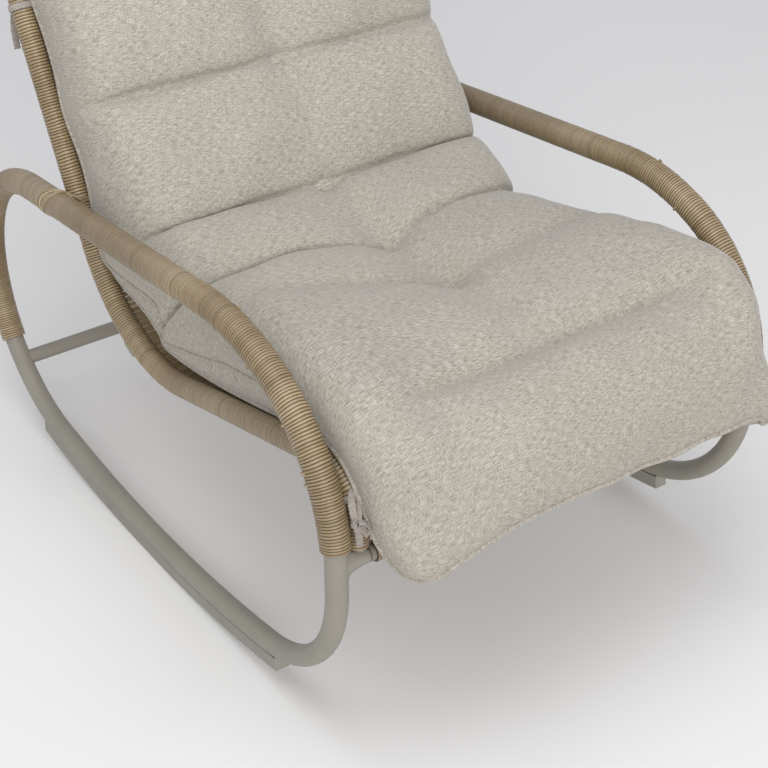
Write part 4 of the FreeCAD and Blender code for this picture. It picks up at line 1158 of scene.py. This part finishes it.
def front_tie_paths():
    out = []
    # round the rail's front bend
    a = 146.0
    c = np.array([-rail_x, front_c_y + 55 * math.cos(rad(a)), front_c_z + 55 * math.sin(rad(a))])
    o = np.array([0, math.cos(rad(a)), math.sin(rad(a))])
    t = np.array([0, math.sin(rad(a)), -math.cos(rad(a))])
    ps = [c + 17.0 * (math.cos(q) * np.array([1.0, 0, 0]) + math.sin(q) * o) for q in np.linspace(rad(115), rad(115 + 350), 14)]
    out.append((ps, [t] * 14))
    # from under the cushion down the outer side of the bend to the knot
    k = np.array([-309.0, -11.5, 346.0])
    for pts in (((-284, 24, 378), (-296, 13, 376), (-305, 4.5, 371), (-309, -3, 362), (-310, -8, 354), (-309, -11, 347)),
                ((-282, 17, 370), (-292, 7, 367), (-299.5, -1.5, 361), (-304.5, -8, 353), (-307, -11.5, 347))):
        out.append(([np.array(q) for q in pts], [np.array([1.0, -0.6, 0.0])] * len(pts)))
    # the knot: two turns of strap drawn tight
    for tilt, rr in ((0.5, 5.0), (-0.6, 4.4)):
        ps, sd = [], []
        for q in np.linspace(0, 2 * math.pi * 0.97, 11):
            ps.append(k + rr * np.array([math.cos(q), 0.5 * math.sin(q + 0.4), math.sin(q) * math.cos(tilt)]) + np.array([0, -0.6 * q / 6, 1.2 * math.sin(tilt * 2)]))
            sd.append(np.array([math.sin(tilt) * 0.7, 1.0, 0.3 * math.cos(q)]))
        out.append((ps, sd))
    # one bow loop and two tails
    ps = [k + np.array(q) for q in ((1, -2, 2), (5, -4, 2), (10, -5.5, -3), (12.5, -6, -10), (9, -5, -13), (4, -3, -7), (1, -2, -1))]
    out.append((ps, [np.array([0.3, 1.0, 0.2])] * len(ps)))
    ps = [k + np.array(q) for q in ((-0.5, -1, -2), (0.0, -2.0, -9), (1.5, -2.0, -18), (3.0, -0.5, -27), (4.5, 0.5, -35))]
    out.append((ps, [np.array([1.0, -0.6, 0.1])] * len(ps)))
    ps = [k + np.array(q) for q in ((1, -2, -2), (5, -4.0, -7), (9, -5.0, -13), (12, -5.5, -19))]
    out.append((ps, [np.array([1.0, 0.1, 0.6])] * len(ps)))
    return out


def back_tie_paths():
    out = []
    y, z = back_pt(330, 0)
    c = np.array([-rail_x, y, z])
    t = np.array([0, cb, sb])
    o = np.array([0, sb, -cb])
    ps = [c + 16.9 * (math.cos(q) * np.array([1.0, 0, 0]) + math.sin(q) * o) for q in np.linspace(rad(95), rad(95 + 350), 14)]
    out.append((ps, [t] * 14))
    k = c + o * 22.5
    for tilt, rr in ((0.5, 6.0), (-0.6, 5.2)):
        ps, sd = [], []
        for q in np.linspace(0, 2 * math.pi * 0.97, 11):
            ps.append(k + rr * np.array([math.cos(q), 0.55 * math.sin(q + 0.4), math.sin(q) * math.cos(tilt)]) + np.array([0, 0.8 * q / 6, 1.2 * math.sin(tilt * 2)]))
            sd.append(np.array([math.sin(tilt) * 0.7, 1.0, 0.3 * math.cos(q)]))
        out.append((ps, sd))
    for sgn, ln in ((-1, 56.0), (1, 44.0)):
        ps = [k + np.array([sgn * q[0], q[1], -q[2] * ln]) for q in ((0.5, 1, 0.0), (3.5, 3, 0.2), (5.0, 3.5, 0.5), (4.5, 3, 0.8), (4.0, 2.5, 1.0))]
        out.append((ps, [np.array([1.0, 0.2 * sgn, 0.0])] * len(ps)))
    return out


for side, sx in (("left", -1), ("right", 1)):
    make_tie(side + "_front_tie_strap", front_tie_paths(), sx, side + "_front_tie")
    make_tie(side + "_back_tie_strap", back_tie_paths(), sx, side + "_back_tie")

# ------------------------------------------------------------------ floor and light
fm, nt, bsdf = new_mat("floor")
obj = node(nt, "ShaderNodeTexCoord").outputs["Object"]
nt.links.new(ramp(nt, noise(nt, obj, 1.2, 2.0), [(0.3, (0.775, 0.775, 0.775)), (0.7, (0.79, 0.79, 0.79))]), bsdf.inputs["Base Color"])
bsdf.inputs["Roughness"].default_value = 0.9
bsdf.inputs["Specular IOR Level"].default_value = 0.1
floor = add_object("floor", [(-14, -14, -0.0004), (14, -14, -0.0004), (14, 14, -0.0004), (-14, 14, -0.0004)], [[0, 1, 2, 3]], fm, smooth=False)

w = bpy.data.worlds.new("studio")
scene.world = w
w.use_nodes = True
w.node_tree.nodes["Background"].inputs["Color"].default_value = (0.984, 0.99, 1.025, 1.0)
w.node_tree.nodes["Background"].inputs["Strength"].default_value = 0.68


def area(name, loc, target, size, power, colour=(1, 1, 1)):
    d = bpy.data.lights.new(name, "AREA")
    d.shape = "RECTANGLE"
    d.size, d.size_y = size
    d.energy = power
    d.color = colour
    o = bpy.data.objects.new(name, d)
    scene.collection.objects.link(o)
    o.location = loc
    o.rotation_euler = (Vector(target) - Vector(loc)).to_track_quat("-Z", "Y").to_euler()
    return o


area("key", (-1.35, -6.4, 1.85), (0.0, 0.0, 0.45), (3.4, 2.6), 120.0, (1.0, 0.965, 0.905))
area("left", (-3.6, -5.0, 3.2), (0.0, 0.0, 0.45), (4.2, 3.0), 122.0, (1.0, 0.965, 0.905))
area("top", (-0.5, -0.5, 2.05), (0.0, 0.0, 0.5), (1.6, 1.3), 16.5)

scene.view_settings.view_transform = "Standard"
scene.view_settings.look = "None"
scene.view_settings.exposure = 0.0
scene.view_settings.gamma = 1.0
